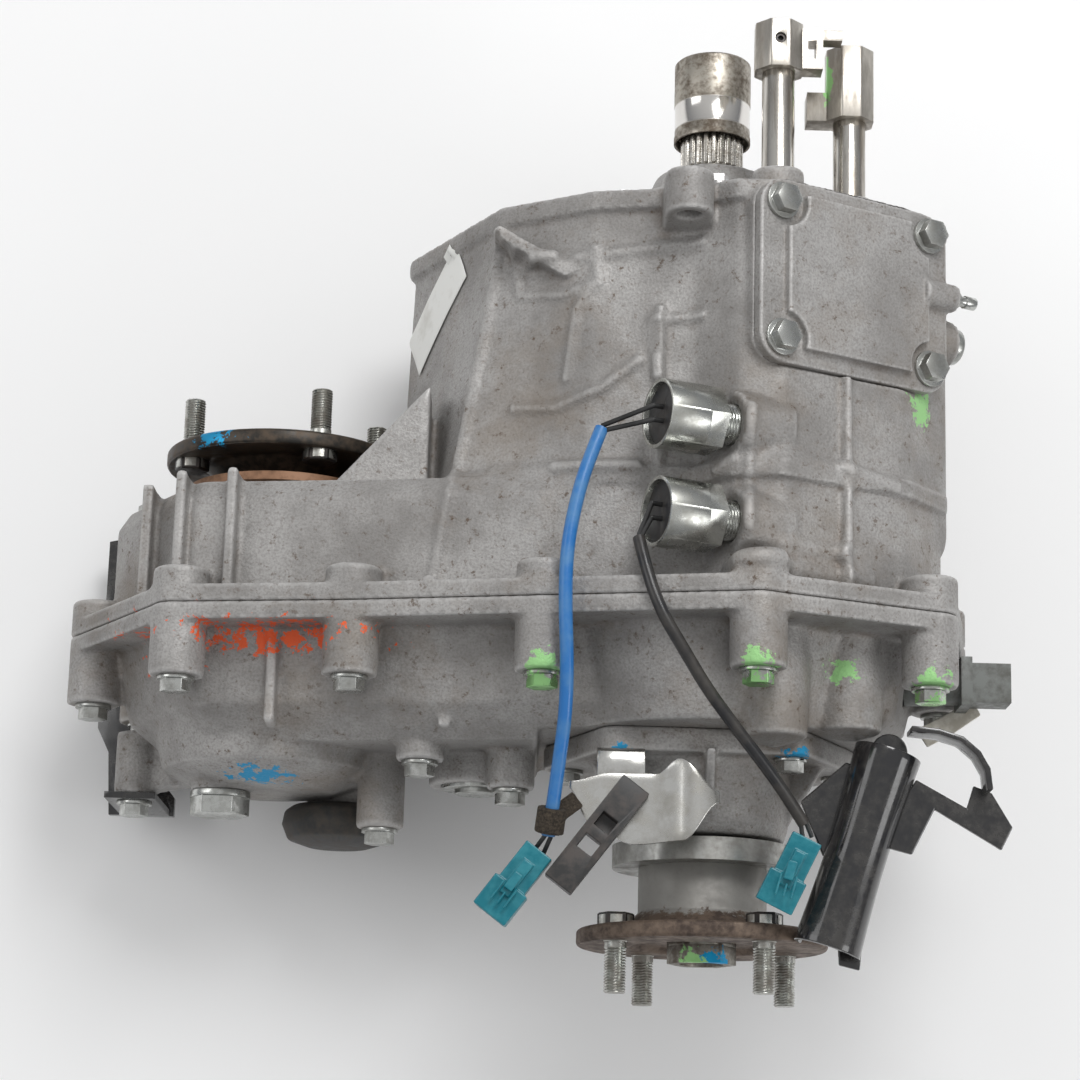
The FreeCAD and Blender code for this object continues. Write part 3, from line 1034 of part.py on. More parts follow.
def main():
    front_turn = FRONT_STUD_TURN
    blue_end = V(*BLUE_ROUTE[-1])
    black_end = V(*BLACK_ROUTE[-1])
    blue_plug = (V(-74, -303, 60), V(-95, -331, 58))
    black_plug = (V(41, -295, 64), V(27, -324, 58))
    nodes = {
        "front_case": front_case(),
        "rear_case": rear_case(),
        "tail_housing": tail_housing(),
        "bearing_retainer": bearing_retainer(),
        "retainer_bolts": retainer_bolts(),
        "case_bolts": case_bolts(),
        "tail_bolts": tail_bolts(),
        "shift_cover": shift_cover(),
        "cover_bolts": cover_bolts(),
        "breather_nozzle": breather_nozzle(),
        "input_bearing": bearing(INPUT_BEARING),
        "large_bearings": Part.makeCompound([bearing(MIDDLE_BEARING), bearing(FRONT_BEARING)]),
        "small_bearings": Part.makeCompound([bearing(TAIL_BEARING), bearing(FRONT_END_BEARING)]),
        "input_seal": seal(RETAINER_NOSE_Y - 8, RETAINER_NOSE_Y - 1, 22.2, NECK_R),
        "rear_seal": seal(TAIL_BEARING[0] - 0.5, TAIL_END_Y, HUB_R - 2, SHAFT_R),
        "front_seal": seal(FRONT_BEARING[1] + 1, SEAL_BOSS_Y - 1, HUB_R + 7, HUB_R - 2, FRONT),
        "ring_gear": gear_ring(),
        "planet_carrier": planet_carrier(),
        "planet_pins": planet_pins(),
        "input_shaft": input_shaft(),
        "input_sleeve": input_sleeve(),
        "output_shaft": output_shaft(),
        "centre_differential": centre_differential(),
        "drive_sprocket": sprocket(MAIN, DIFF_REAR_Y, MIDDLE_BEARING[1] + FACE_GAP),
        "driven_sprocket": sprocket(FRONT, FRONT_BEARING[0] - FACE_GAP, FRONT_END_BEARING[1] + FACE_GAP),
        "drive_chain": drive_chain(),
        "front_shaft": front_shaft(),
        "front_flange": companion_flange(FRONT_FLANGE_Y, FRONT_HUB_END_Y, FRONT, front_turn),
        "front_studs": flange_studs(FRONT_FLANGE_Y, 1, FRONT, front_turn),
        "front_nut": shaft_nut(FRONT_FLANGE_Y - 3, 1, FRONT),
        "front_deflector": deflector(FRONT_HUB_END_Y + 9.5, FRONT_HUB_END_Y + 13.5, DEFLECTOR_R, FRONT),
        "rear_flange": companion_flange(REAR_FLANGE_Y, REAR_HUB_END_Y, MAIN, REAR_STUD_TURN),
        "rear_studs": flange_studs(REAR_FLANGE_Y, -1, MAIN, REAR_STUD_TURN),
        "rear_nut": shaft_nut(REAR_FLANGE_Y + 3, -1, MAIN),
        "rear_deflector": deflector(REAR_HUB_END_Y - 10, REAR_HUB_END_Y, DEFLECTOR_R - 5, MAIN),
        "range_collar": range_collar(),
        "lock_collar": lock_collar(),
        "range_rod": shift_rod(RANGE_ROD, RANGE_HEAD_Y[1] - 3, RANGE_ROD_REAR_Y),
        "lock_rod": shift_rod(LOCK_ROD, LOCK_HEAD_Y[1] - 3, LOCK_ROD_REAR_Y),
        "range_fork": shift_fork(RANGE_COLLAR_Y, RANGE_ROD, 10.5),
        "lock_fork": shift_fork(LOCK_COLLAR_Y, LOCK_ROD, 9.5),
        "range_head": range_head(),
        "lock_head": lock_head(),
        "switch_bodies": Part.makeCompound([switch_body(y) for y in SWITCH_YS]),
        "switch_insulators": Part.makeCompound([switch_insulator(y) for y in SWITCH_YS]),
        "blue_cable": cord_tube("blue", BLUE_ROUTE, BLUE_R),
        "black_cable": cord_tube("black", BLACK_ROUTE, BLACK_R),
        "cable_leads": Part.makeCompound(leads(SWITCH_YS[0], V(*BLUE_ROUTE[0])) + leads(SWITCH_YS[1], V(*BLACK_ROUTE[0]))
                                         + cable_leads(blue_end, blue_plug[0])
                                         + cable_leads(black_end, black_plug[0])),
        "connectors": Part.makeCompound([connector(*blue_plug, 17, 12, 3), connector(*black_plug, 17, 12, 8)]),
        "tape_wrap": tape_wrap(),
        "cable_clip": cable_clip(),
        "shield_plate": shield_plate(),
        "plugs": Part.makeCompound([fill_plug(), detent_plug(), port_cap()]),
        "speed_sensor": speed_sensor(),
        "harness_bracket": harness_bracket(),
        "side_bracket": side_bracket(),
        "mass_damper": mass_damper(),
    }
    for i in range(PLANET_COUNT):
        nodes[f"planet_{i + 1}"] = planet(i)
    for name, shape in nodes.items():
        shape.exportStep(f"parts/{name}.step")
        print(name, len(shape.Solids), round(shape.Volume / 1000, 1), shape.isValid())
    print(len(nodes), "nodes")


main()
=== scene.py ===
import math

import bmesh
import bpy
from mathutils import Matrix, Vector
from mathutils.bvhtree import BVHTree


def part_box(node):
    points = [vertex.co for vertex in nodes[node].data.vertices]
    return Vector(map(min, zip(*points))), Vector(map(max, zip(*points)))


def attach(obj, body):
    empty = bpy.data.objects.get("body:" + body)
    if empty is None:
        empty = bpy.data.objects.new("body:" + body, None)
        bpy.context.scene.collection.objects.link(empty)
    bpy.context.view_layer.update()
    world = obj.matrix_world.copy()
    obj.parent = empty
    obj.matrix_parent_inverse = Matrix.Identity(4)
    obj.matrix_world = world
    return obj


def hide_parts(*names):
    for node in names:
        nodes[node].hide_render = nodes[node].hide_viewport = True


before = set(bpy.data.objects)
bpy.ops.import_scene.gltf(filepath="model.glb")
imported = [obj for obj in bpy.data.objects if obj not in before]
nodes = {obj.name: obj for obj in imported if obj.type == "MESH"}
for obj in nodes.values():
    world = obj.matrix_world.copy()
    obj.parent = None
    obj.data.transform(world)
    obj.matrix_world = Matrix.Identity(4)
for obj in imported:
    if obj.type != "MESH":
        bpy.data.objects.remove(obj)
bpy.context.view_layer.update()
scene = bpy.context.scene
scene.view_settings.view_transform = "Standard"

# ---- view, light and floor
# A long lens looks down on the case from above its rear end.
# The light is a wide lamp overhead, a softer one from each side, and a pale room all round.
LENS = 93.33
SENSOR = 36
TILT = math.radians(13.92)
ROLL = math.radians(1.59)
FLOOR_Z = -0.130
FLOOR_HALF = 4
CAMERA_PLACE = (-0.0776, -0.4635, 1.264)
ROOM_STRENGTH = 0.62
ROOM_LOW = (0.30, 0.31, 0.33, 1)
ROOM_HIGH = (0.95, 0.95, 0.95, 1)
BACKDROP = (1.62, 1.62, 1.62, 1)
FLOOR_WHITE = (0.93, 0.93, 0.93, 1)


def linked(name, data):
    """New object in the scene with the given mesh, curve, lamp or camera."""
    made = bpy.data.objects.new(name, data)
    scene.collection.objects.link(made)
    return made


camera = linked("camera", bpy.data.cameras.new("camera"))
camera.data.lens = LENS
camera.data.sensor_width = SENSOR
level = Vector((0, math.cos(TILT), math.sin(TILT)))
right = Vector((math.cos(ROLL), 0, 0)) + level * math.sin(ROLL)
up = level * math.cos(ROLL) - Vector((math.sin(ROLL), 0, 0))
back = Vector((0, -math.sin(TILT), math.cos(TILT)))
turn = Matrix((right, up, back)).transposed().to_4x4()
camera.matrix_world = Matrix.Translation(CAMERA_PLACE) @ turn
scene.camera = camera


def lamp(name, at, target, size, power):
    """Square soft lamp that faces the target."""
    made = linked(name, bpy.data.lights.new(name, "AREA"))
    made.data.size = size
    made.data.energy = power
    made.location = at
    made.rotation_euler = (Vector(target) - Vector(at)).to_track_quat("-Z", "Y").to_euler()


lamp("overhead", (0.35, 0.75, 1.4), (-0.05, -0.15, 0), 0.7, 15)
lamp("left_side", (-1.3, 0.1, 0.9), (-0.1, -0.15, 0), 0.8, 4)
lamp("right_side", (1.2, -0.7, 0.8), (0, -0.2, 0), 0.6, 4)


def add(tree, kind, inputs=None, **settings):
    """Adds a node, with its settings, and with its inputs set to plain values or joined to outputs."""
    made = tree.nodes.new(kind)
    for key, value in settings.items():
        setattr(made, key, value)
    for key, value in (inputs or {}).items():
        if isinstance(value, bpy.types.NodeSocket):
            tree.links.new(value, made.inputs[key])
        else:
            made.inputs[key].default_value = value
    return made


def calc(tree, operation, *values):
    """Result of one sum on plain values or outputs."""
    return add(tree, "ShaderNodeMath", dict(enumerate(values)), operation=operation).outputs[0]


def tint(tree, factor, under, over):
    """Colour that goes from under to over with the factor."""
    return add(tree, "ShaderNodeMix", {0: factor, 6: under, 7: over}, data_type="RGBA").outputs[2]


def ramp(tree, value, low, high, start=0.0, end=1.0):
    """Value mapped from low..high on to start..end, and held there."""
    inputs = {"Value": value, "From Min": low, "From Max": high, "To Min": start, "To Max": end}
    return add(tree, "ShaderNodeMapRange", inputs).outputs["Result"]


def noise(tree, where, scale, detail=2.0, rough=0.5):
    """Cloudy value over the surface, finer with a larger scale."""
    inputs = {"Vector": where, "Scale": scale, "Detail": detail, "Roughness": rough}
    return add(tree, "ShaderNodeTexNoise", inputs).outputs["Fac"]


room = bpy.data.worlds.new("room")
scene.world = room
room.use_nodes = True
sky = room.node_tree
facing = add(sky, "ShaderNodeTexCoord").outputs["Generated"]
height = add(sky, "ShaderNodeSeparateXYZ", {"Vector": facing}).outputs["Z"]
shade = tint(sky, ramp(sky, height, -0.1, 0.9), ROOM_LOW, ROOM_HIGH)
paths = add(sky, "ShaderNodeLightPath")
seen = calc(sky, "MAXIMUM", paths.outputs["Is Camera Ray"], paths.outputs["Is Transmission Ray"])
sky.nodes["Background"].inputs["Strength"].default_value = ROOM_STRENGTH
sky.links.new(tint(sky, seen, shade, BACKDROP), sky.nodes["Background"].inputs["Color"])


def mesh_object(name, points, faces):
    """Object with a plain mesh of points, in metres, and faces."""
    mesh = bpy.data.meshes.new(name)
    mesh.from_pydata(points, [], faces)
    return linked(name, mesh)


floor_corners = [(-FLOOR_HALF, -FLOOR_HALF, FLOOR_Z), (FLOOR_HALF, -FLOOR_HALF, FLOOR_Z),
                 (FLOOR_HALF, FLOOR_HALF, FLOOR_Z), (-FLOOR_HALF, FLOOR_HALF, FLOOR_Z)]
floor = mesh_object("floor", floor_corners, [(0, 1, 2, 3)])
floor_paint = bpy.data.materials.new("floor_paint")
floor_paint.use_nodes = True
floor_shader = floor_paint.node_tree.nodes["Principled BSDF"]
floor_shader.inputs["Base Color"].default_value = FLOOR_WHITE
floor_shader.inputs["Roughness"].default_value = 0.9
floor.data.materials.append(floor_paint)

# ---- front case
# Sand-cast aluminium half that carries the input, the planetary set and the front output's seal.
# Every edge is rounded as the mould leaves it, and road dirt sits in the corners and the grain.
CAST_VOXEL = 0.0014
CAST_SMOOTHING = 4
CAST_TRIANGLES = 190000
CAST_LIGHT = (0.40, 0.39, 0.38, 1)
CAST_DARK = (0.27, 0.26, 0.25, 1)
ROAD_DIRT = (0.10, 0.065, 0.04, 1)
OIL_FILM = (0.215, 0.175, 0.135, 1)
ORANGE_PAINT = (0.80, 0.13, 0.04, 1)
GREEN_PAINT = (0.33, 0.62, 0.26, 1)
BLUE_PAINT = (0.02, 0.30, 0.55, 1)
RIDGE_RAISED = 0.002
RIDGE_STEP = 0.003
ABOVE_ALL = 0.2
# Each ridge has a path seen from above and a half width, in mm.
RIDGES = [
    ([(-99, -12), (-107, -70), (-117, -130), (-126, -188)], 3.2),
    ([(-100, -130), (-72, -131), (-34, -131)], 3.0),
    ([(-92, -101), (-72, -102), (-52, -94), (-34, -80)], 3.0),
    ([(-92, -24), (-90, -46), (-70, -48), (-54, -44), (-56, -26)], 3.2),
    ([(-56, -44), (-64, -56), (-68, -90)], 2.6),
    ([(-30, -62), (-6, -61)], 2.6),
    ([(-30, -62), (-27, -90)], 2.8),
    ([(-90, -30), (-60, -31), (-30, -28), (-6, -26)], 3.2),
    ([(12, -168), (56, -170)], 4.0),
    ([(-8, -182), (30, -180), (70, -180)], 4.0),
    ([(14, -108), (13, -125), (13, -165)], 2.8),
    ([(-2, -136), (14, -128), (56, -131), (82, -136)], 3.4)]


def group(name, inputs, outputs):
    """Empty shader node group with named sockets: its tree, its input values and its output sockets."""
    tree = bpy.data.node_groups.new(name, "ShaderNodeTree")
    for label, kind, value in inputs:
        tree.interface.new_socket(label, in_out="INPUT", socket_type=kind).default_value = value
    for label, kind in outputs:
        tree.interface.new_socket(label, in_out="OUTPUT", socket_type=kind)
    return tree, tree.nodes.new("NodeGroupInput").outputs, tree.nodes.new("NodeGroupOutput").inputs


def place(tree, shared, inputs):
    """Puts a shared effect into a material, with its own values."""
    return add(tree, "ShaderNodeGroup", inputs, node_tree=shared).outputs


def finish(name, metallic, roughness, color=(0.5, 0.5, 0.5, 1), **sockets):
    """New material: its Principled shader has these plain values on its own sockets."""
    made = bpy.data.materials.new(name)
    made.use_nodes = True
    shader = made.node_tree.nodes["Principled BSDF"].inputs
    shader["Base Color"].default_value = color
    shader["Metallic"].default_value = metallic
    shader["Roughness"].default_value = roughness
    for key, value in sockets.items():
        shader[key.replace("_", " ")].default_value = value
    return made, made.node_tree, shader


def baked(piece, name):
    """Plain mesh object of a piece with its modifiers taken into the mesh."""
    mesh = bpy.data.meshes.new_from_object(piece.evaluated_get(bpy.context.evaluated_depsgraph_get()))
    bpy.data.objects.remove(piece)
    return linked(name, mesh)


def merged_copy(node, name):
    """Copy of a CAD piece's mesh with its loose triangles joined."""
    mesh = nodes[node].data.copy()
    work = bmesh.new()
    work.from_mesh(mesh)
    bmesh.ops.remove_doubles(work, verts=work.verts, dist=2e-6)
    work.to_mesh(mesh)
    work.free()
    mesh.materials.clear()
    return linked(name, mesh)


def take_over(piece, node, body, material):
    """Gives a piece its material, puts it on its body and lets it stand for the CAD node."""
    piece.data.materials.clear()
    piece.data.materials.append(material)
    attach(piece, body)
    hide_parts(node)


def join(name, pieces):
    """One object from several."""
    work = bmesh.new()
    for piece in pieces:
        work.from_mesh(piece.data)
        bpy.data.objects.remove(piece)
    mesh = bpy.data.meshes.new(name)
    work.to_mesh(mesh)
    work.free()
    return linked(name, mesh)


def smoothed(piece, fold=None):
    """Smooth shading, kept sharp where the surface folds by more than an angle in degrees."""
    for polygon in piece.data.polygons:
        polygon.use_smooth = True
    if fold is not None:
        piece.data.set_sharp_from_angle(angle=math.radians(fold))
    return piece


def casting(node, voxel, smoothing, triangles, ribs=()):
    """Copy of a cast piece, grown together with its ribs, with its edges and corners rounded."""
    piece = join(node + "_rough", [merged_copy(node, node + "_plain"), *ribs])
    remesh = piece.modifiers.new("remesh", "REMESH")
    remesh.mode = "VOXEL"
    remesh.voxel_size = voxel
    soften = piece.modifiers.new("soften", "SMOOTH")
    soften.factor = 0.5
    soften.iterations = smoothing
    piece = baked(piece, node + "_dense")
    count = sum(len(p.vertices) - 2 for p in piece.data.polygons)
    if count > triangles:
        thin = piece.modifiers.new("thin", "DECIMATE")
        thin.ratio = triangles / count
    return smoothed(baked(piece, node + "_cast"))


skin, skin_in, skin_out = group(
    "cast_skin",
    [("Light", "NodeSocketColor", CAST_LIGHT), ("Dark", "NodeSocketColor", CAST_DARK),
     ("Dirt", "NodeSocketFloat", 1.0)],
    [("Color", "NodeSocketColor"), ("Roughness", "NodeSocketFloat"), ("Height", "NodeSocketFloat")])
here = add(skin, "ShaderNodeTexCoord").outputs["Object"]
bend = add(skin, "ShaderNodeNewGeometry").outputs["Pointiness"]
grain = noise(skin, here, 900, 2)
pores = noise(skin, here, 420, 3, 0.7)
clouds = noise(skin, here, 22, 4, 0.6)
flecks = noise(skin, here, 260, 5, 0.75)
stains = noise(skin, here, 60, 6, 0.7)
tone = tint(skin, ramp(skin, clouds, 0.4, 0.62), skin_in["Light"], skin_in["Dark"])
tone = tint(skin, ramp(skin, grain, 0.40, 0.70, 0.0, 0.5), tone, (0.19, 0.18, 0.17, 1))
film = ramp(skin, noise(skin, here, 15, 6, 0.68), 0.50, 0.66, 0.0, 0.5)
film = calc(skin, "MULTIPLY", film, skin_in["Dirt"])
tone = tint(skin, film, tone, OIL_FILM)
worn = ramp(skin, bend, 0.515, 0.56, 0.0, 0.55)
tone = tint(skin, worn, tone, (0.70, 0.69, 0.68, 1))
hollow = ramp(skin, bend, 0.492, 0.455, 0.0, 0.8)
patchy = ramp(skin, stains, 0.45, 0.7, 0.15, 1.0)
hollow = calc(skin, "MULTIPLY", hollow, patchy)
specks = ramp(skin, flecks, 0.57, 0.66, 0.0, 0.85)
specks = calc(skin, "MULTIPLY", specks, ramp(skin, stains, 0.40, 0.58, 0.25, 1.0))
soiled = calc(skin, "MAXIMUM", hollow, specks)
soiled = calc(skin, "MULTIPLY", soiled, skin_in["Dirt"])
skin.links.new(tint(skin, soiled, tone, ROAD_DIRT), skin_out["Color"])
skin.links.new(ramp(skin, clouds, 0.3, 0.7, 0.5, 0.66), skin_out["Roughness"])
rough_height = calc(skin, "ADD", grain, pores)
skin.links.new(rough_height, skin_out["Height"])

mark, mark_in, mark_out = group(
    "paint_mark",
    [("Centre", "NodeSocketVector", (0, 0, 0)), ("Size", "NodeSocketVector", (0.01, 0.01, 0.01)),
     ("Ragged", "NodeSocketFloat", 0.6)],
    [("Mask", "NodeSocketFloat")])
here = add(mark, "ShaderNodeTexCoord").outputs["Object"]
away = add(mark, "ShaderNodeVectorMath", {0: here, 1: mark_in["Centre"]}, operation="SUBTRACT").outputs[0]
share = add(mark, "ShaderNodeVectorMath", {0: away, 1: mark_in["Size"]}, operation="DIVIDE").outputs[0]
reach = add(mark, "ShaderNodeVectorMath", {0: share}, operation="LENGTH").outputs["Value"]
torn = calc(mark, "ADD", noise(mark, here, 190, 5, 0.7), -0.5)
torn = calc(mark, "MULTIPLY", torn, mark_in["Ragged"])
torn = calc(mark, "MULTIPLY", torn, 4.0)
edge = calc(mark, "ADD", reach, torn)
mark.links.new(ramp(mark, edge, 1.05, 0.95), mark_out["Mask"])


def painted(tree, tone, marks):
    """Lays dabs of paint over a colour: each mark is a centre and a size in mm, a tear and a paint."""
    for centre, size, ragged, paint in marks:
        inputs = {"Centre": [v / 1000 for v in centre], "Size": [v / 1000 for v in size], "Ragged": ragged}
        tone = tint(tree, place(tree, mark, inputs)["Mask"], tone, paint)
    return tone


def cast_finish(name, dirt, marks, light=CAST_LIGHT, dark=CAST_DARK):
    """Cast aluminium with dirt and dabs of paint."""
    made, tree, shader = finish(name, 0.35, 0.55)
    cast = place(tree, skin, {"Light": light, "Dark": dark, "Dirt": dirt})
    tree.links.new(painted(tree, cast["Color"], marks), shader["Base Color"])
    tree.links.new(cast["Roughness"], shader["Roughness"])
    bump = add(tree, "ShaderNodeBump", {"Strength": 0.55, "Distance": 0.0005, "Height": cast["Height"]})
    tree.links.new(bump.outputs["Normal"], shader["Normal"])
    return made


front_mesh = nodes["front_case"].data
front_surface = BVHTree.FromPolygons([v.co for v in front_mesh.vertices],
                                     [p.vertices for p in front_mesh.polygons])


def ridge(name, surface, places, half):
    """Rounded bar along a path seen from above, in mm, that stands a little out of the surface below it."""
    radius = ((half / 1000) ** 2 + RIDGE_RAISED ** 2) / (2 * RIDGE_RAISED)
    path = [Vector((x / 1000, y / 1000, ABOVE_ALL)) for x, y in places]
    spots = [path[-1]]
    for one, two in zip(path, path[1:]):
        steps = max(1, round((two - one).length / RIDGE_STEP))
        spots[-1:-1] = [one.lerp(two, i / steps) for i in range(steps)]
    curve = bpy.data.curves.new(name, "CURVE")
    curve.dimensions = "3D"
    curve.bevel_depth = radius
    curve.use_fill_caps = True
    line = curve.splines.new("POLY")
    line.points.add(len(spots) - 1)
    for point, spot in zip(line.points, spots):
        hit, normal = surface.ray_cast(spot, Vector((0, 0, -1)))[:2]
        outward = normal if normal.z > 0 else -normal
        point.co = (hit + outward * (RIDGE_RAISED - radius))[:] + (1,)
    return baked(linked(name, curve), name)


ribs = [ridge(f"ridge_{number}", front_surface, places, half)
        for number, (places, half) in enumerate(RIDGES, 1)]
front_case = casting("front_case", CAST_VOXEL, CAST_SMOOTHING, CAST_TRIANGLES, ribs)
take_over(front_case, "front_case", "case", cast_finish(
    "front_case_metal", 1.0,
    [((-257, -206, 15), (19, 6, 12), 2.2, ORANGE_PAINT), ((-195, -203, 45), (29, 4, 18), 2.2, ORANGE_PAINT),
     ((96, -93, 42), (7, 9, 8), 0.9, GREEN_PAINT)]))

# ---- blank label
# Plain white paper strip with nothing printed on it.
# It is stuck across the sloping left wall of the front case.
LABEL_CORNERS = [(-4, -6), (-25, 9), (-63, -29), (-42, -44)]
LABEL_STEPS = 24
LABEL_COLUMNS = 8
LABEL_THICK = 0.3
LABEL_OFF = 0.9
LEFT_OF_ALL = -0.3


def break_edges(piece, width, fold=30):
    """Small bevel on every edge where the piece folds by more than an angle in degrees."""
    bevel = piece.modifiers.new("bevel", "BEVEL")
    bevel.width = width
    bevel.segments = 2
    bevel.limit_method = "ANGLE"
    bevel.angle_limit = math.radians(fold)


def sheet(name, rows, thick):
    """Bent sheet through rows of points in mm, with a thickness and soft edges."""
    wide = len(rows[0])
    points = [[value / 1000 for value in point] for row in rows for point in row]
    faces = [(r * wide + c, r * wide + c + 1, (r + 1) * wide + c + 1, (r + 1) * wide + c)
             for r in range(len(rows) - 1) for c in range(wide - 1)]
    made = mesh_object(name + "_flat", points, faces)
    wall = made.modifiers.new("wall", "SOLIDIFY")
    wall.thickness = thick / 1000
    wall.offset = 0
    break_edges(made, thick * 0.2 / 1000)
    return smoothed(baked(made, name), 40)


label_rows = []
near_top, far_top, far_low, near_low = [Vector(corner) for corner in LABEL_CORNERS]
for down in range(LABEL_STEPS + 1):
    row = []
    for across in range(LABEL_COLUMNS + 1):
        top = near_top.lerp(far_top, across / LABEL_COLUMNS)
        low = near_low.lerp(far_low, across / LABEL_COLUMNS)
        y, z = top.lerp(low, down / LABEL_STEPS)
        hit = front_surface.ray_cast(Vector((LEFT_OF_ALL, y / 1000, z / 1000)), Vector((1, 0, 0)))[0]
        row.append((hit.x * 1000 - LABEL_OFF, y, z))
    label_rows.append(row)
label = sheet("blank_label", label_rows, LABEL_THICK)
label_paper, tree, shader = finish("label_paper", 0.0, 0.6, (0.78, 0.78, 0.75, 1))
paper_here = add(tree, "ShaderNodeTexCoord").outputs["Object"]
tree.links.new(tint(tree, ramp(tree, noise(tree, paper_here, 45, 4, 0.6), 0.5, 0.75), (0.80, 0.80, 0.77, 1),
                    (0.55, 0.53, 0.48, 1)), shader["Base Color"])
label.data.materials.append(label_paper)
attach(label, "case")

# ---- rear case
# The other cast half: it closes the chain housing and carries the bearings behind the sprockets.
# It is bolted to the front half from behind, and its bolt ends were dabbed with paint at assembly.
ROD_TRAVEL = 0.0195
BORE_GAP = 0.0009


def keep_clear(piece, rod):
    """Holds a casting's rounded wall back from a rod that slides in its bore."""
    low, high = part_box(rod)
    centre = (low + high) / 2
    reach = (high.x - low.x) / 2 + BORE_GAP
    for corner in piece.data.vertices:
        away = Vector((corner.co.x - centre.x, 0, corner.co.z - centre.z))
        if away.length < reach and corner.co.y > low.y - ROD_TRAVEL:
            corner.co += away.normalized() * (reach - away.length)


rear_case = casting("rear_case", CAST_VOXEL, CAST_SMOOTHING, CAST_TRIANGLES)
keep_clear(rear_case, "range_rod")
take_over(rear_case, "rear_case", "case", cast_finish(
    "rear_case_metal", 1.0,
    [((-257, -212, 15), (18, 6, 12), 2.2, ORANGE_PAINT), ((-195, -208, 45), (28, 4, 18), 2.2, ORANGE_PAINT),
     ((-75, -227, 78), (7, 8, 12), 0.8, GREEN_PAINT), ((17, -226, 98), (7, 8, 12), 0.8, GREEN_PAINT),
     ((58, -221, 62), (7, 5, 9), 0.9, GREEN_PAINT), ((95, -227, 66), (7, 8, 12), 0.8, GREEN_PAINT),
     ((-202, -264, 0), (12, 3, 10), 2.0, BLUE_PAINT)]))

# ---- tail housing
# Small ribbed aluminium casting on the back of the rear case, round the rear output's bearing and seal.
# It is held by its own ring of flange bolts.
tail_housing = casting("tail_housing", voxel=0.0012, smoothing=4, triangles=150000)
take_over(tail_housing, "tail_housing", "case", cast_finish(
    "tail_housing_metal", 0.8,
    [((-38, -258, 44), (7, 4, 7), 1.2, BLUE_PAINT), ((38, -257, 42), (7, 4, 7), 1.2, BLUE_PAINT)],
    light=(0.46, 0.45, 0.44, 1), dark=(0.30, 0.29, 0.28, 1)))

# ---- shift cover
# Cast aluminium lid with a rolled edge over the shift forks.
# It is held on its sloping seat by four flange bolts.
shift_cover = casting("shift_cover", voxel=0.0010, smoothing=3, triangles=90000)
take_over(shift_cover, "shift_cover", "case", cast_finish(
    "shift_cover_metal", 0.9, [], light=(0.42, 0.41, 0.40, 1), dark=(0.29, 0.28, 0.27, 1)))

# ---- flange bolts of the joint, the tail housing and the cover, and the plugs
# Zinc-plated steel bolts, cold headed with a flange under the hexagon, screwed into bosses.
# Their heads show wrench marks and dull spots.
ZINC = (0.56, 0.57, 0.55, 1)
DULL_ZINC = (0.33, 0.33, 0.31, 1)


def merge_flats(work):
    """Joins the triangles of each flat face, so that only real edges are left to break."""
    bmesh.ops.dissolve_limit(work, angle_limit=math.radians(0.4), verts=work.verts, edges=work.edges)


def eased(node, body, material, width):
    """Copy of a CAD piece with its edges broken by a small bevel; it stands for the CAD piece."""
    piece = merged_copy(node, node + "_sharp")
    work = bmesh.new()
    work.from_mesh(piece.data)
    merge_flats(work)
    work.to_mesh(piece.data)
    work.free()
    break_edges(piece, width, fold=35)
    take_over(smoothed(baked(piece, node + "_eased"), 32), node, body, material)


wear, wear_in, wear_out = group(
    "dull_metal",
    [("Bright", "NodeSocketColor", ZINC), ("Dull", "NodeSocketColor", DULL_ZINC),
     ("Stretch", "NodeSocketVector", (1, 1, 1)), ("Scale", "NodeSocketFloat", 260.0),
     ("Low", "NodeSocketFloat", 0.25), ("High", "NodeSocketFloat", 0.5)],
    [("Color", "NodeSocketColor"), ("Roughness", "NodeSocketFloat"), ("Height", "NodeSocketFloat")])
here = add(wear, "ShaderNodeTexCoord").outputs["Object"]
here = add(wear, "ShaderNodeVectorMath", {0: here, 1: wear_in["Stretch"]}, operation="MULTIPLY").outputs[0]
spots = noise(wear, here, wear_in["Scale"], 4, 0.65)
broad = noise(wear, here, 70, 3, 0.6)
both = calc(wear, "ADD", spots, broad)
amount = ramp(wear, both, 0.85, 1.2)
wear.links.new(tint(wear, amount, wear_in["Bright"], wear_in["Dull"]), wear_out["Color"])
spread = calc(wear, "SUBTRACT", wear_in["High"], wear_in["Low"])
spread = calc(wear, "MULTIPLY_ADD", spread, amount, wear_in["Low"])
wear.links.new(spread, wear_out["Roughness"])
wear.links.new(spots, wear_out["Height"])


def worn_finish(name, bright, dull, rough, metallic=1.0, scale=260.0, stretch=(1, 1, 1), marks=(), bump=0.1,
                **sockets):
    """Metal, plastic or rubber that varies from bright and smooth to dull and rough, with dabs of paint."""
    low, high = rough
    made, tree, shader = finish(name, metallic, low, **sockets)
    inputs = {"Bright": bright, "Dull": dull, "Stretch": stretch, "Scale": scale, "Low": low, "High": high}
    worn = place(tree, wear, inputs)
    tree.links.new(painted(tree, worn["Color"], marks), shader["Base Color"])
    tree.links.new(worn["Roughness"], shader["Roughness"])
    relief = add(tree, "ShaderNodeBump", {"Strength": bump, "Distance": 0.0003, "Height": worn["Height"]})
    tree.links.new(relief.outputs["Normal"], shader["Normal"])
    return made


bolt_zinc = worn_finish("bolt_zinc", ZINC, DULL_ZINC, (0.22, 0.45), marks=[
    ((17, -240, 93), (12, 10, 20), 0.9, GREEN_PAINT), ((95, -240, 60), (12, 9, 20), 0.9, GREEN_PAINT),
    ((-75, -234, 72), (10, 6, 20), 0.9, GREEN_PAINT)])
for node in ("case_bolts", "tail_bolts", "cover_bolts", "plugs", "breather_nozzle"):
    eased(node, "case", bolt_zinc, width=0.00035)

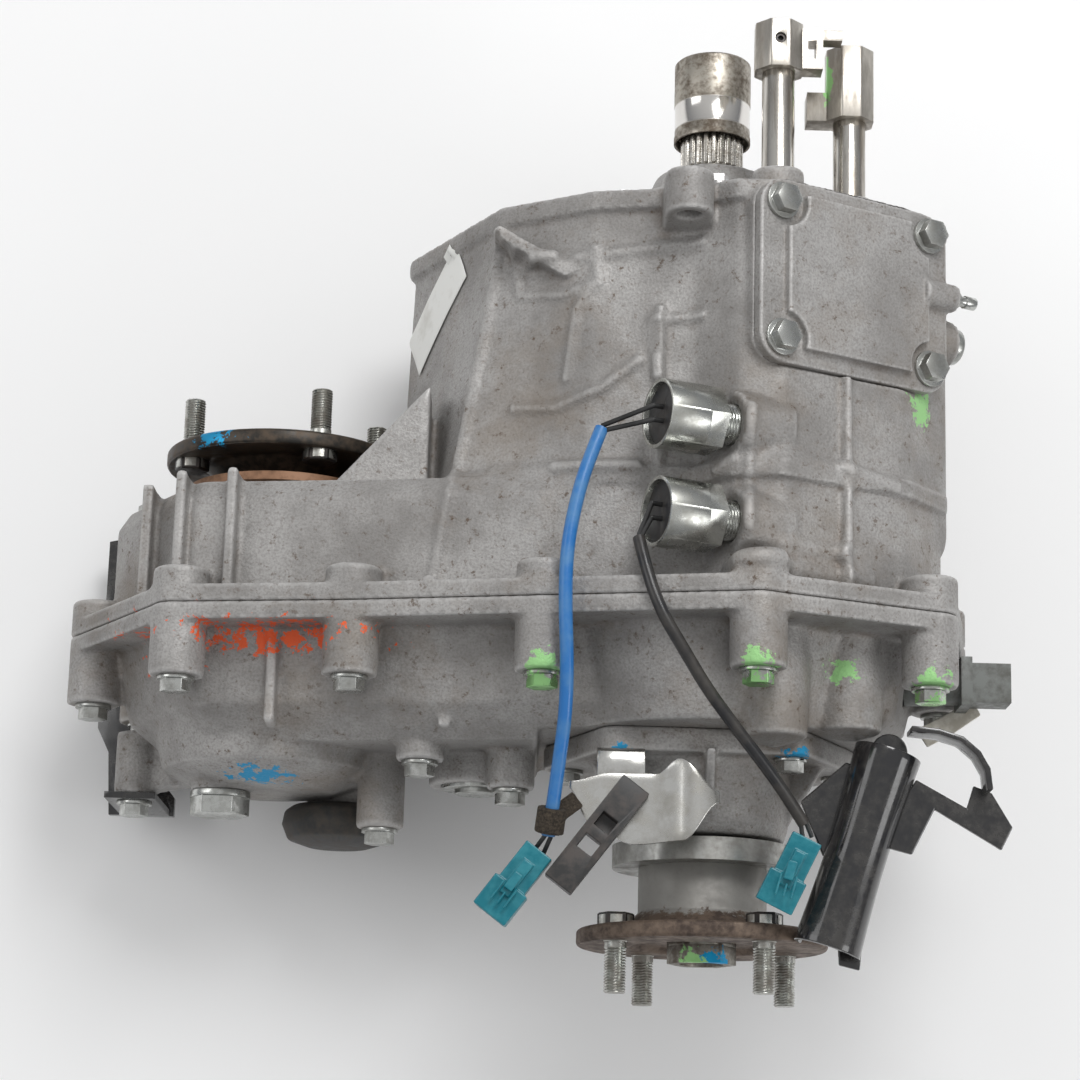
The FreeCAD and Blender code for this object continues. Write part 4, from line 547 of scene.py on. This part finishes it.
# ---- input shaft and its sleeve
# Splined steel shaft with a sliding sleeve over it.
# The turned sleeve's rear end is polished where its seal runs.
SLEEVE_BAND = (0.0545, 0.0665)
BAND_BLUR = 0.0004
POLISH = 0.14

shaft_steel = worn_finish("shaft_steel", (0.62, 0.60, 0.56, 1), (0.38, 0.35, 0.31, 1),
                          (0.18, 0.38), stretch=(1, 6, 1))
eased("input_shaft", "input", shaft_steel, width=0.00025)

sleeve_steel, tree, shader = finish("sleeve_steel", 1.0, 0.3)
turned_rings = place(tree, wear, {"Bright": (0.42, 0.39, 0.34, 1), "Dull": (0.17, 0.14, 0.11, 1), "Low": 0.42,
                                  "High": 0.62, "Scale": 420.0})
along = add(tree, "ShaderNodeSeparateXYZ",
            {"Vector": add(tree, "ShaderNodeTexCoord").outputs["Object"]}).outputs["Y"]
band = calc(tree, "MULTIPLY", ramp(tree, along, SLEEVE_BAND[0] - BAND_BLUR, SLEEVE_BAND[0] + BAND_BLUR),
            ramp(tree, along, SLEEVE_BAND[1] + BAND_BLUR, SLEEVE_BAND[1] - BAND_BLUR))
tree.links.new(tint(tree, band, turned_rings["Color"], (0.72, 0.70, 0.67, 1)), shader["Base Color"])
polish = add(tree, "ShaderNodeMix", {0: band, 2: turned_rings["Roughness"], 3: POLISH}).outputs[0]
tree.links.new(polish, shader["Roughness"])
eased("input_sleeve", "input", sleeve_steel, width=0.0004)

# ---- shift rods and their heads
# Ground steel rods that slide out of the case beside the input.
# Each carries a milled head held by a set screw.
SCREW_PROFILE = [(0.0024, -0.003), (0.0024, -0.0002), (0.0021, 0), (0.0013, 0), (0.0012, -0.0022),
                 (0.0003, -0.0024)]
SCREW_SUNK = 0.0008
RANGE_SCREW_XY = (0.0265, 0.0725)
LOCK_SCREW_YZ = (0.0595, 0.045)

rod_steel = worn_finish("rod_steel", (0.66, 0.64, 0.60, 1), (0.30, 0.27, 0.23, 1),
                        (0.12, 0.36), stretch=(1, 0.12, 1))
head_steel = worn_finish("head_steel", (0.55, 0.52, 0.47, 1), (0.36, 0.33, 0.29, 1),
                         (0.28, 0.5), stretch=(1, 0.3, 1))
lock_head_steel = worn_finish("lock_head_steel", (0.55, 0.52, 0.47, 1), (0.36, 0.33, 0.29, 1), (0.28, 0.5),
                             stretch=(1, 0.3, 1), marks=[((50, 62, 54), (2.4, 13, 10), 0.5, GREEN_PAINT)])
eased("range_rod", "range_shift", rod_steel, width=0.0003)
eased("lock_rod", "lock_shift", rod_steel, width=0.0003)
eased("range_head", "range_shift", head_steel, width=0.0004)
eased("lock_head", "lock_shift", lock_head_steel, width=0.0004)


def turned_piece(name, profile, steps=32):
    """Closed mesh turned about +Z from (radius, height) corners in metres."""
    points = []
    faces = []
    rows = len(profile)
    for r, h in profile:
        for i in range(steps):
            turned = 2 * math.pi * i / steps
            points.append((r * math.cos(turned), r * math.sin(turned), h))
    for row in range(rows - 1):
        for i in range(steps):
            one, two = row * steps + i, row * steps + (i + 1) % steps
            faces.append((one, two, two + steps, one + steps))
    faces.append(tuple(reversed(range(steps))))
    faces.append(tuple(range((rows - 1) * steps, rows * steps)))
    return smoothed(mesh_object(name, points, faces), 32)


def stand(piece, at, direction):
    """Moves a mesh built about +Z to a point and direction, with the object left at the origin."""
    turn = Vector((0, 0, 1)).rotation_difference(Vector(direction).normalized()).to_matrix().to_4x4()
    piece.data.transform(Matrix.Translation(at) @ turn)


black_oxide = worn_finish("black_oxide", (0.03, 0.03, 0.03, 1), (0.06, 0.05, 0.045, 1),
                          (0.3, 0.5), metallic=0.6)


def set_screw(name, at, direction, body):
    """Socket set screw, seen end on: a black ring round a deep hole."""
    screw = turned_piece(name, SCREW_PROFILE, steps=24)
    stand(screw, at, direction)
    screw.data.materials.append(black_oxide)
    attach(screw, body)


range_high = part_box("range_head")[1]
lock_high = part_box("lock_head")[1]
set_screw("range_set_screw", (*RANGE_SCREW_XY, range_high.z - SCREW_SUNK), (0, 0, 1), "range_shift")
set_screw("lock_set_screw", (lock_high.x - SCREW_SUNK, *LOCK_SCREW_YZ), (1, 0, 0), "lock_shift")

# ---- switches
# Two position switches, screwed into the case by a rolled thread.
# Each is a zinc-plated hexagon with its rim rolled over a black moulded insulator.
SWITCH_TILT = math.radians(24)
SWITCH_SEAT = Vector((0.005, 0, 0.079))
SWITCH_OUT = Vector((-math.cos(SWITCH_TILT), 0, math.sin(SWITCH_TILT)))
SWITCH_YS = (-0.115, -0.159)
THREAD_R = 0.009
THREAD_PITCH = 0.0015
THREAD_DEEP = 0.0009
THREAD_OUT = 0.0082
THREAD_SUNK = 0.0001


def threaded(name, length, radius, pitch, depth, steps=24, rows=6):
    """Rod along +Z whose surface rises and falls once a pitch, as a rolled thread does."""
    rings = max(2, int(length / pitch * rows))
    points = [(0, 0, 0)]
    for ring in range(rings + 1):
        h = length * ring / rings
        for i in range(steps):
            phase = (h / pitch - i / steps) % 1
            r = radius - depth * abs(2 * phase - 1)
            r = min(r, radius - depth * 0.9 + max(0, length - h) * 0.9)
            turned = 2 * math.pi * i / steps
            points.append((r * math.cos(turned), r * math.sin(turned), h))
    points.append((0, 0, length))
    faces = [(0, 1 + (i + 1) % steps, 1 + i) for i in range(steps)]
    for ring in range(rings):
        for i in range(steps):
            one, two = 1 + ring * steps + i, 1 + ring * steps + (i + 1) % steps
            faces.append((one, two, two + steps, one + steps))
    last = 1 + rings * steps
    faces += [(len(points) - 1, last + i, last + (i + 1) % steps) for i in range(steps)]
    return smoothed(mesh_object(name, points, faces), 50)


switch_zinc = worn_finish("switch_zinc", (0.60, 0.61, 0.58, 1), (0.40, 0.40, 0.37, 1), (0.2, 0.38))
thread_zinc = worn_finish("thread_zinc", (0.66, 0.67, 0.65, 1), (0.44, 0.44, 0.42, 1), (0.16, 0.34))
insulator_black = worn_finish("insulator_black", (0.02, 0.02, 0.022, 1), (0.045, 0.04, 0.036, 1),
                              (0.4, 0.65), metallic=0.0)
eased("switch_bodies", "case", switch_zinc, width=0.0005)
eased("switch_insulators", "case", insulator_black, width=0.0006)
for number, y in enumerate(SWITCH_YS, 1):
    screw = threaded(f"switch_thread_{number}", THREAD_OUT, THREAD_R, THREAD_PITCH, THREAD_DEEP,
                     steps=40, rows=8)
    stand(screw, SWITCH_SEAT + Vector((0, y, 0)) - SWITCH_OUT * THREAD_SUNK, SWITCH_OUT)
    screw.data.materials.append(thread_zinc)
    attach(screw, "case")

# ---- switch cables
# Each switch's pair of leads runs in a vinyl sleeve over the rear case to a moulded connector.
# The blue one hangs down the middle of the case, the black one over the tail housing.
BLUE_ROUTE = [(-52, -121, 88), (-57.5, -136, 90), (-62.5, -155, 91.5), (-66, -177, 92), (-66, -201, 91.5),
              (-64.5, -225, 88), (-64.5, -246, 81.5), (-66.5, -264, 75), (-68.5, -281, 69), (-70.5, -297, 64)]
BLACK_ROUTE = [(-35, -171, 93), (-31.5, -187, 98), (-25, -205, 100), (-15.5, -220, 98), (-5, -236, 93),
               (7.5, -251, 87), (20, -265, 80), (31, -278, 73), (39, -289, 67)]
BLUE_R = 0.003
BLACK_R = 0.00275


def sleeve(name, route, radius, material):
    """Vinyl sleeve whose middle line is one smooth spline through its route, given in mm."""
    curve = bpy.data.curves.new(name, "CURVE")
    curve.dimensions = "3D"
    curve.bevel_depth = radius
    curve.bevel_resolution = 5
    curve.resolution_u = 12
    curve.use_fill_caps = True
    line = curve.splines.new("NURBS")
    line.points.add(len(route) - 1)
    for point, spot in zip(line.points, route):
        point.co = [v / 1000 for v in spot] + [1]
    line.order_u = 3
    line.use_endpoint_u = True
    curve.materials.append(material)
    made = linked(name, curve)
    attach(made, "case")
    return made


def vinyl(name, bright, dull):
    """Soft vinyl with a dusty bloom and faint creases."""
    return worn_finish(name, bright, dull, (0.28, 0.5), metallic=0.0, scale=90.0, bump=0.25)


blue_vinyl = vinyl("blue_vinyl", (0.02, 0.16, 0.46, 1), (0.07, 0.22, 0.46, 1))
black_vinyl = vinyl("black_vinyl", (0.018, 0.018, 0.02, 1), (0.05, 0.045, 0.04, 1))
lead_vinyl = vinyl("lead_vinyl", (0.015, 0.015, 0.015, 1), (0.04, 0.04, 0.04, 1))
blue_sleeve = sleeve("blue_sleeve", BLUE_ROUTE, BLUE_R, blue_vinyl)
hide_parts("blue_cable")
black_sleeve = sleeve("black_sleeve", BLACK_ROUTE, BLACK_R, black_vinyl)
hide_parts("black_cable")


def dress(node, material):
    """Gives a CAD piece that stays in view its own material."""
    for held in nodes[node].material_slots:
        held.link = "OBJECT"
        held.material = material


dress("cable_leads", lead_vinyl)

# ---- connectors, tape and clip
# Teal moulded two-way plugs on the cable ends.
# Fleece tape binds the blue cable beside a black plastic clip.
PLUG_GAP_X = -0.03
PLUG_EDGE = 0.0007
PLATE_EDGE = 0.0006
RIB_SUNK = 0.6
# Each moulding on a plug has an offset to the side, a half width, a start, a stop and a rise, in mm.
GRIP_RIBS = [(-3.4, 0.5, -1, 9, 0.7), (0, 0.5, 3, 9, 0.7), (3.4, 0.5, -1, 9, 0.7)]
LATCH = (0, 2.1, -7, 1.5, 1.3)

teal = worn_finish("teal_plastic", (0.0, 0.16, 0.21, 1), (0.02, 0.22, 0.27, 1), (0.3, 0.45), metallic=0.0)


def half_copy(node, name, keep_low):
    """Merged copy of the one of a node's two solids that lies on the given side of the gap between them."""
    piece = merged_copy(node, name)
    work = bmesh.new()
    work.from_mesh(piece.data)
    gone = [v for v in work.verts if (v.co.x < PLUG_GAP_X) != keep_low]
    bmesh.ops.delete(work, geom=gone, context="VERTS")
    merge_flats(work)
    work.to_mesh(piece.data)
    work.free()
    break_edges(piece, PLUG_EDGE)
    return baked(piece, name + "_plug")


def cut_plate(name, outline, low, high):
    """Flat piece cut to an outline in mm, between two heights, with broken edges."""
    count = len(outline)
    points = [(x / 1000, y / 1000, z / 1000) for z in (low, high) for x, y in outline]
    faces = [tuple(range(count)), tuple(range(count, 2 * count))]
    faces += [(i, (i + 1) % count, count + (i + 1) % count, count + i) for i in range(count)]
    made = mesh_object(name + "_cut", points, faces)
    work = bmesh.new()
    work.from_mesh(made.data)
    bmesh.ops.recalc_face_normals(work, faces=work.faces)
    work.to_mesh(made.data)
    work.free()
    break_edges(made, PLATE_EDGE)
    return baked(made, name)


def moulded(name, plug, leads):
    """Plug with three grip ribs and a latch tongue moulded on its upper face, in line with its leads."""
    corners = [v.co for v in plug.data.vertices]
    middle = sum(corners, Vector()) / len(corners)
    run = (middle - leads).to_2d().normalized()
    side = run.orthogonal()
    top = max(corner.z for corner in corners) * 1000
    parts = [plug]
    for offset, half, start, stop, rise in [*GRIP_RIBS, LATCH]:
        at = middle.to_2d() * 1000 + side * offset
        outline = [at + run * along_run + side * across for along_run, across in
                   ((start, -half), (stop, -half), (stop, half), (start, half))]
        parts.append(cut_plate(name + "_rib", outline, top - RIB_SUNK, top + rise))
    return join(name, parts)


blue_half = half_copy("connectors", "blue", True)
blue_plug = moulded("blue_plug_moulded", blue_half, Vector(BLUE_ROUTE[-1]) / 1000)
black_half = half_copy("connectors", "black", False)
black_plug = moulded("black_plug_moulded", black_half, Vector(BLACK_ROUTE[-1]) / 1000)
for plug in (blue_plug, black_plug):
    take_over(plug, "connectors", "case", teal)
clip_plastic = worn_finish("clip_plastic", (0.03, 0.03, 0.03, 1), (0.07, 0.06, 0.055, 1),
                           (0.4, 0.6), metallic=0.0)
eased("cable_clip", "case", clip_plastic, width=0.0006)

fleece, tree, shader = finish("fleece_tape", 0.0, 0.95, (0.04, 0.03, 0.022, 1))
tape_here = add(tree, "ShaderNodeTexCoord").outputs["Object"]
fibres = noise(tree, tape_here, 900, 6, 0.8)
tree.links.new(tint(tree, ramp(tree, fibres, 0.4, 0.65), (0.02, 0.016, 0.012, 1), (0.11, 0.085, 0.06, 1)),
               shader["Base Color"])
nap = add(tree, "ShaderNodeBump", {"Strength": 1.0, "Distance": 0.001, "Height": fibres})
tree.links.new(nap.outputs["Normal"], shader["Normal"])
tape = casting("tape_wrap", voxel=0.0006, smoothing=2, triangles=60000)
take_over(tape, "tape_wrap", "case", fleece)

# ---- front output flange
# Forged companion flange in black coating, held on its splines by a nut.
# It has a brown dust deflector behind it and four pressed-in studs.
STUD_COUNT = 4
STUD_CIRCLE = 0.04667
STUD_R = 0.005
STUD_OUT = 0.0226
STUD_COLLAR = 0.003
STUD_PITCH = 0.00125
STUD_THREAD = 0.0007
FLANGE_DEEP = 0.0072
FRONT_TURN = 25.0

flange_black = worn_finish("flange_black", (0.035, 0.033, 0.03, 1), (0.10, 0.075, 0.055, 1), (0.35, 0.6),
                           metallic=0.7, marks=[((-237, -106, 12), (11, 5, 8), 1.5, BLUE_PAINT)])
brown_coat = worn_finish("brown_coat", (0.30, 0.16, 0.09, 1), (0.17, 0.09, 0.05, 1), (0.5, 0.7), metallic=0.3)
eased("front_flange", "front_output", flange_black, width=0.0008)
dress("front_deflector", brown_coat)
eased("front_nut", "front_output", flange_black, width=0.0005)

ring_tree = bpy.data.node_groups.new("stud_ring", "GeometryNodeTree")
ring_inputs = [("Stud", "NodeSocketGeometry"), ("Count", "NodeSocketInt"), ("Circle", "NodeSocketFloat"),
               ("Turn", "NodeSocketFloat"), ("Centre", "NodeSocketVector"), ("Plating", "NodeSocketMaterial")]
for label, kind in ring_inputs:
    ring_tree.interface.new_socket(label, in_out="INPUT", socket_type=kind)
ring_tree.interface.new_socket("Studs", in_out="OUTPUT", socket_type="NodeSocketGeometry")
given = ring_tree.nodes.new("NodeGroupInput").outputs
circle = add(ring_tree, "GeometryNodeMeshCircle", {"Vertices": given["Count"], "Radius": given["Circle"]})
flat = add(ring_tree, "GeometryNodeTransform", {"Geometry": circle.outputs["Mesh"],
                                                "Rotation": (math.pi / 2, 0, 0)})
spin = add(ring_tree, "ShaderNodeCombineXYZ", {"Y": given["Turn"]})
turned_ring = add(ring_tree, "GeometryNodeTransform", {"Geometry": flat.outputs["Geometry"],
                                                       "Rotation": spin.outputs["Vector"],
                                                       "Translation": given["Centre"]})
copies = add(ring_tree, "GeometryNodeInstanceOnPoints", {"Points": turned_ring.outputs["Geometry"],
                                                         "Instance": given["Stud"]})
real = add(ring_tree, "GeometryNodeRealizeInstances", {"Geometry": copies.outputs["Instances"]})
plated = add(ring_tree, "GeometryNodeSetMaterial", {"Geometry": real.outputs["Geometry"],
                                                    "Material": given["Plating"]})
ring_tree.links.new(plated.outputs["Geometry"], ring_tree.nodes.new("NodeGroupOutput").inputs["Studs"])

stud_zinc = worn_finish("stud_zinc", (0.55, 0.56, 0.53, 1), (0.34, 0.32, 0.29, 1), (0.25, 0.5))


def ring_of(piece, name, centre, turn, plating):
    """The piece set round a flange's stud circle by the shared tree, as one plain mesh."""
    ring = piece.modifiers.new("ring", "NODES")
    ring.node_group = ring_tree
    values = {"Count": STUD_COUNT, "Circle": STUD_CIRCLE, "Turn": math.radians(turn), "Centre": centre,
              "Plating": plating}
    for item in ring_tree.interface.items_tree:
        if item.name in values:
            ring[item.identifier] = values[item.name]
    return baked(piece, name)


def stud_set(node, body, centre, turn, out):
    """Four threaded studs with flat six-sided heads behind the flange, made once and set round its circle."""
    shank = turned_piece("shank", [(0.0066, -FLANGE_DEEP - 0.0046), (0.0076, -FLANGE_DEEP - 0.004),
                                   (0.0076, -FLANGE_DEEP), (0.0054, -FLANGE_DEEP), (0.0054, 0),
                                   (STUD_R, 0.0003), (STUD_R, STUD_COLLAR)])
    screw = threaded("screw", STUD_OUT - STUD_COLLAR, STUD_R, STUD_PITCH, STUD_THREAD)
    screw.data.transform(Matrix.Translation((0, 0, STUD_COLLAR)))
    stud = join(node + "_one", [shank, screw])
    stand(stud, (0, 0, 0), (0, out, 0))
    studs = ring_of(stud, node + "_threaded", centre, turn, stud_zinc)
    take_over(studs, node, body, stud_zinc)
    head = turned_piece("head", [(0.0074, -FLANGE_DEEP - 0.0052), (0.0082, -FLANGE_DEEP - 0.0046),
                                 (0.0082, -FLANGE_DEEP - 0.0002), (0.0079, -FLANGE_DEEP)], steps=6)
    stand(head, (0, 0, 0), (0, out, 0))
    heads = ring_of(head, node + "_heads", centre, turn, black_oxide)
    heads.data.materials.clear()
    heads.data.materials.append(black_oxide)
    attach(heads, body)


front_low, front_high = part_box("front_flange")
front_centre = (front_low + front_high) / 2
front_face = (front_centre.x, front_high.y, front_centre.z)
stud_set("front_studs", "front_output", front_face, FRONT_TURN, 1)

# ---- rear output flange
# The same forged flange on the rear output, bare and rusty, held by its own nut.
# A pressed zinc-plated deflector sits round its hub.
HUB_STEEL = (0.34, 0.33, 0.31, 1)
REAR_TURN = 32.15

rust = worn_finish("rust", (0.17, 0.125, 0.095, 1), (0.075, 0.055, 0.045, 1), (0.5, 0.75), metallic=0.5,
                   bump=0.4, marks=[((0, -311, 0), (60, 15, 60), 0.25, HUB_STEEL)])
nut_steel = worn_finish("nut_steel", (0.30, 0.29, 0.26, 1), (0.14, 0.12, 0.10, 1), (0.35, 0.55), marks=[
    ((4, -345, 13), (9, 6, 7), 1.0, BLUE_PAINT), ((-6, -345, 14), (6, 6, 6), 1.0, GREEN_PAINT)])
deflector_zinc = worn_finish("deflector_zinc", (0.48, 0.48, 0.46, 1), (0.30, 0.29, 0.27, 1), (0.3, 0.5))
eased("rear_flange", "rear_output", rust, width=0.0008)
eased("rear_nut", "rear_output", nut_steel, width=0.0005)
dress("rear_deflector", deflector_zinc)
rear_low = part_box("rear_flange")[0]
stud_set("rear_studs", "rear_output", (0, rear_low.y, 0), REAR_TURN, -1)

# ---- shield plate
# Bent and dished zinc-plated sheet over the tail housing.
# Its turned-down ear is held by one of the tail housing's flange bolts.
SHIELD_LOW_EDGE = [(-62, -275), (-53, -290), (-34, -299), (-12, -297), (3, -280)]
SHIELD_HIGH_EDGE = [(-62, -272), (-44, -268), (-24, -268), (-14, -261), (3, -275)]
SHIELD_Z = 57.2
SHIELD_LIFT = 4.0
LIFT_FROM, LIFT_OVER = -26, 16
SHIELD_DROOP = 3.0
DROOP_FROM, DROOP_OVER = -8, 11
SHIELD_COLUMNS = 33
SHIELD_ROWS = 9
SHIELD_SHEET = 2.0
EAR_XS = (-50, -43, -36, -29)
EAR_PROFILE = [(-270, SHIELD_Z), (-262, SHIELD_Z), (-258.6, 56.4), (-257.3, 54), (-257.3, 33.2)]

shield_zinc = worn_finish("shield_zinc", (0.62, 0.62, 0.60, 1), (0.42, 0.41, 0.38, 1),
                          (0.16, 0.32), scale=120.0)


def edge_at(edge, x):
    """Height of a broken line at x, eased between its corners."""
    for (x1, y1), (x2, y2) in zip(edge, edge[1:]):
        if x <= x2:
            share = (x - x1) / (x2 - x1)
            return y1 + (y2 - y1) * share * share * (3 - 2 * share)
    return edge[-1][1]


def swell(x, start, over):
    """Share from 0 to 1 that grows as the square of the way past a start."""
    return min(1, max(0, (x - start) / over)) ** 2


shield_rows = []
shield_left, shield_right = SHIELD_LOW_EDGE[0][0], SHIELD_LOW_EDGE[-1][0]
for number in range(SHIELD_COLUMNS + 1):
    x = shield_left + (shield_right - shield_left) * number / SHIELD_COLUMNS
    lift = SHIELD_LIFT * swell(x, LIFT_FROM, LIFT_OVER) - SHIELD_DROOP * swell(x, DROOP_FROM, DROOP_OVER)
    low, high = edge_at(SHIELD_LOW_EDGE, x), edge_at(SHIELD_HIGH_EDGE, x)
    shield_rows.append([(x, low + (high - low) * part / SHIELD_ROWS, SHIELD_Z + lift)
                        for part in range(SHIELD_ROWS + 1)])
shield_ear = [[(x, y, z) for y, z in EAR_PROFILE] for x in EAR_XS]
shield = join("shield_sheet", [sheet("shield_top", shield_rows, SHIELD_SHEET),
                               sheet("shield_ear", shield_ear, SHIELD_SHEET)])
take_over(shield, "shield_plate", "case", shield_zinc)

# ---- harness bracket and guard
# Pressed steel brackets in gloss black paint.
# The harness bracket is a half-round channel that stands on a foot off the rear case's right side.
LEG_TOP = Vector((78, -254, 48))
LEG_END = Vector((51, -341, 48))
LEG_R = 13.7
BRACKET_SHEET = 2.5
LEG_WAIST = 1.6
LEG_ROWS = 30
LEG_FROM = -30
LEG_SWEEP = 240
LEG_PARTS = 24
FOOT_AT = (0.079, -0.253, 0)
FOOT_PROFILE = [(0.0075, 0.0302), (0.008, 0.0307), (0.008, 0.0440), (0.0075, 0.0445)]
ARM_PATH = [(86, -246), (98, -247), (108, -250), (115, -256), (119, -263), (120, -272)]
ARM_ZS = (49.5, 54, 60, 65.5)
FLAP_OUTLINE = [(40, -276), (60, -258), (76, -264), (60, -302), (50, -300)]
FLAP_Z = 41.5
TAIL_OUTLINE = [(56, -327), (68, -330), (66, -349), (57, -347)]
TAIL_Z = 40.8
LINK_OUTLINE = [(115, -268), (123, -271), (132, -286), (127, -296), (98, -279), (88, -299), (76, -296),
                (78, -284), (90, -266), (112, -278)]
LINK_Z = 48

gloss_black = worn_finish("gloss_black", (0.012, 0.012, 0.014, 1), (0.03, 0.028, 0.026, 1), (0.12, 0.3),
                          metallic=0.0, bump=0.03, Coat_Weight=0.6, Coat_Roughness=0.08)
run = (LEG_END - LEG_TOP).normalized()
side = run.cross(Vector((0, 0, 1)))
angles = [math.radians(LEG_FROM + LEG_SWEEP * part / LEG_PARTS) for part in range(LEG_PARTS + 1)]
leg_rows = []
for number in range(LEG_ROWS + 1):
    middle = LEG_TOP.lerp(LEG_END, number / LEG_ROWS)
    radius = LEG_R - LEG_WAIST * math.sin(math.pi * number / LEG_ROWS)
    leg_rows.append([middle + side * radius * math.cos(a) + Vector((0, 0, radius * math.sin(a)))
                     for a in angles])
foot = turned_piece("bracket_foot", FOOT_PROFILE)
stand(foot, FOOT_AT, (0, 0, 1))
bracket = join("harness_sheet", [
    sheet("bracket_leg", leg_rows, BRACKET_SHEET),
    sheet("bracket_arm", [[(x, y, z) for z in ARM_ZS] for x, y in ARM_PATH], BRACKET_SHEET),
    cut_plate("bracket_flap", FLAP_OUTLINE, FLAP_Z, FLAP_Z + BRACKET_SHEET),
    cut_plate("bracket_tail", TAIL_OUTLINE, TAIL_Z, TAIL_Z + BRACKET_SHEET),
    cut_plate("bracket_link", LINK_OUTLINE, LINK_Z, LINK_Z + BRACKET_SHEET),
    foot])
take_over(bracket, "harness_bracket", "case", gloss_black)
eased("side_bracket", "case", gloss_black, width=0.0006)

# ---- speed sensor and mass damper
# Grey moulded socket in the case's right side, with an off-white nylon arm beside it.
# A rubber-faced damper hangs below the chain housing.
NYLON_ROWS = [[(96, -236, 7), (101, -244, 7)], [(108, -230, 8), (112, -238, 8)],
              [(121, -222, 10), (125, -229, 10)]]
NYLON_THICK = 3.0
sensor_grey = worn_finish("sensor_grey", (0.17, 0.18, 0.17, 1), (0.10, 0.10, 0.09, 1),
                          (0.45, 0.65), metallic=0.0)
damper_black = worn_finish("damper_black", (0.03, 0.03, 0.03, 1), (0.07, 0.06, 0.05, 1),
                           (0.5, 0.7), metallic=0.0)
eased("speed_sensor", "case", sensor_grey, width=0.001)
eased("mass_damper", "case", damper_black, width=0.001)
arm_nylon = worn_finish("arm_nylon", (0.62, 0.60, 0.54, 1), (0.42, 0.39, 0.33, 1), (0.35, 0.55), metallic=0.0)
sensor_arm = sheet("sensor_arm", NYLON_ROWS, NYLON_THICK)
sensor_arm.data.materials.append(arm_nylon)
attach(sensor_arm, "case")

# ---- inner works, retainer and seals
# Gears, chain, collars, forks, bearings and shafts inside the closed case, in ground and oiled steel.
# The cast retainer holds the input bearing, and black rubber lips seal the three shafts.
inner_steel = worn_finish("inner_steel", (0.45, 0.45, 0.45, 1), (0.30, 0.29, 0.28, 1), (0.22, 0.4))
seal_rubber = worn_finish("seal_rubber", (0.02, 0.02, 0.02, 1), (0.05, 0.045, 0.04, 1),
                          (0.5, 0.7), metallic=0.0)
for node in ("input_bearing", "large_bearings", "small_bearings", "ring_gear", "drive_chain",
             "planet_carrier", "planet_pins", "planet_1", "planet_2", "planet_3", "centre_differential",
             "drive_sprocket", "driven_sprocket", "range_collar", "lock_collar", "range_fork", "lock_fork",
             "output_shaft", "front_shaft", "retainer_bolts"):
    dress(node, inner_steel)
for node in ("input_seal", "rear_seal", "front_seal"):
    dress(node, seal_rubber)
retainer = casting("bearing_retainer", voxel=0.0010, smoothing=2, triangles=80000)
take_over(retainer, "bearing_retainer", "case", cast_finish(
    "retainer_metal", 0.7, [], light=(0.46, 0.45, 0.44, 1), dark=(0.32, 0.31, 0.30, 1)))
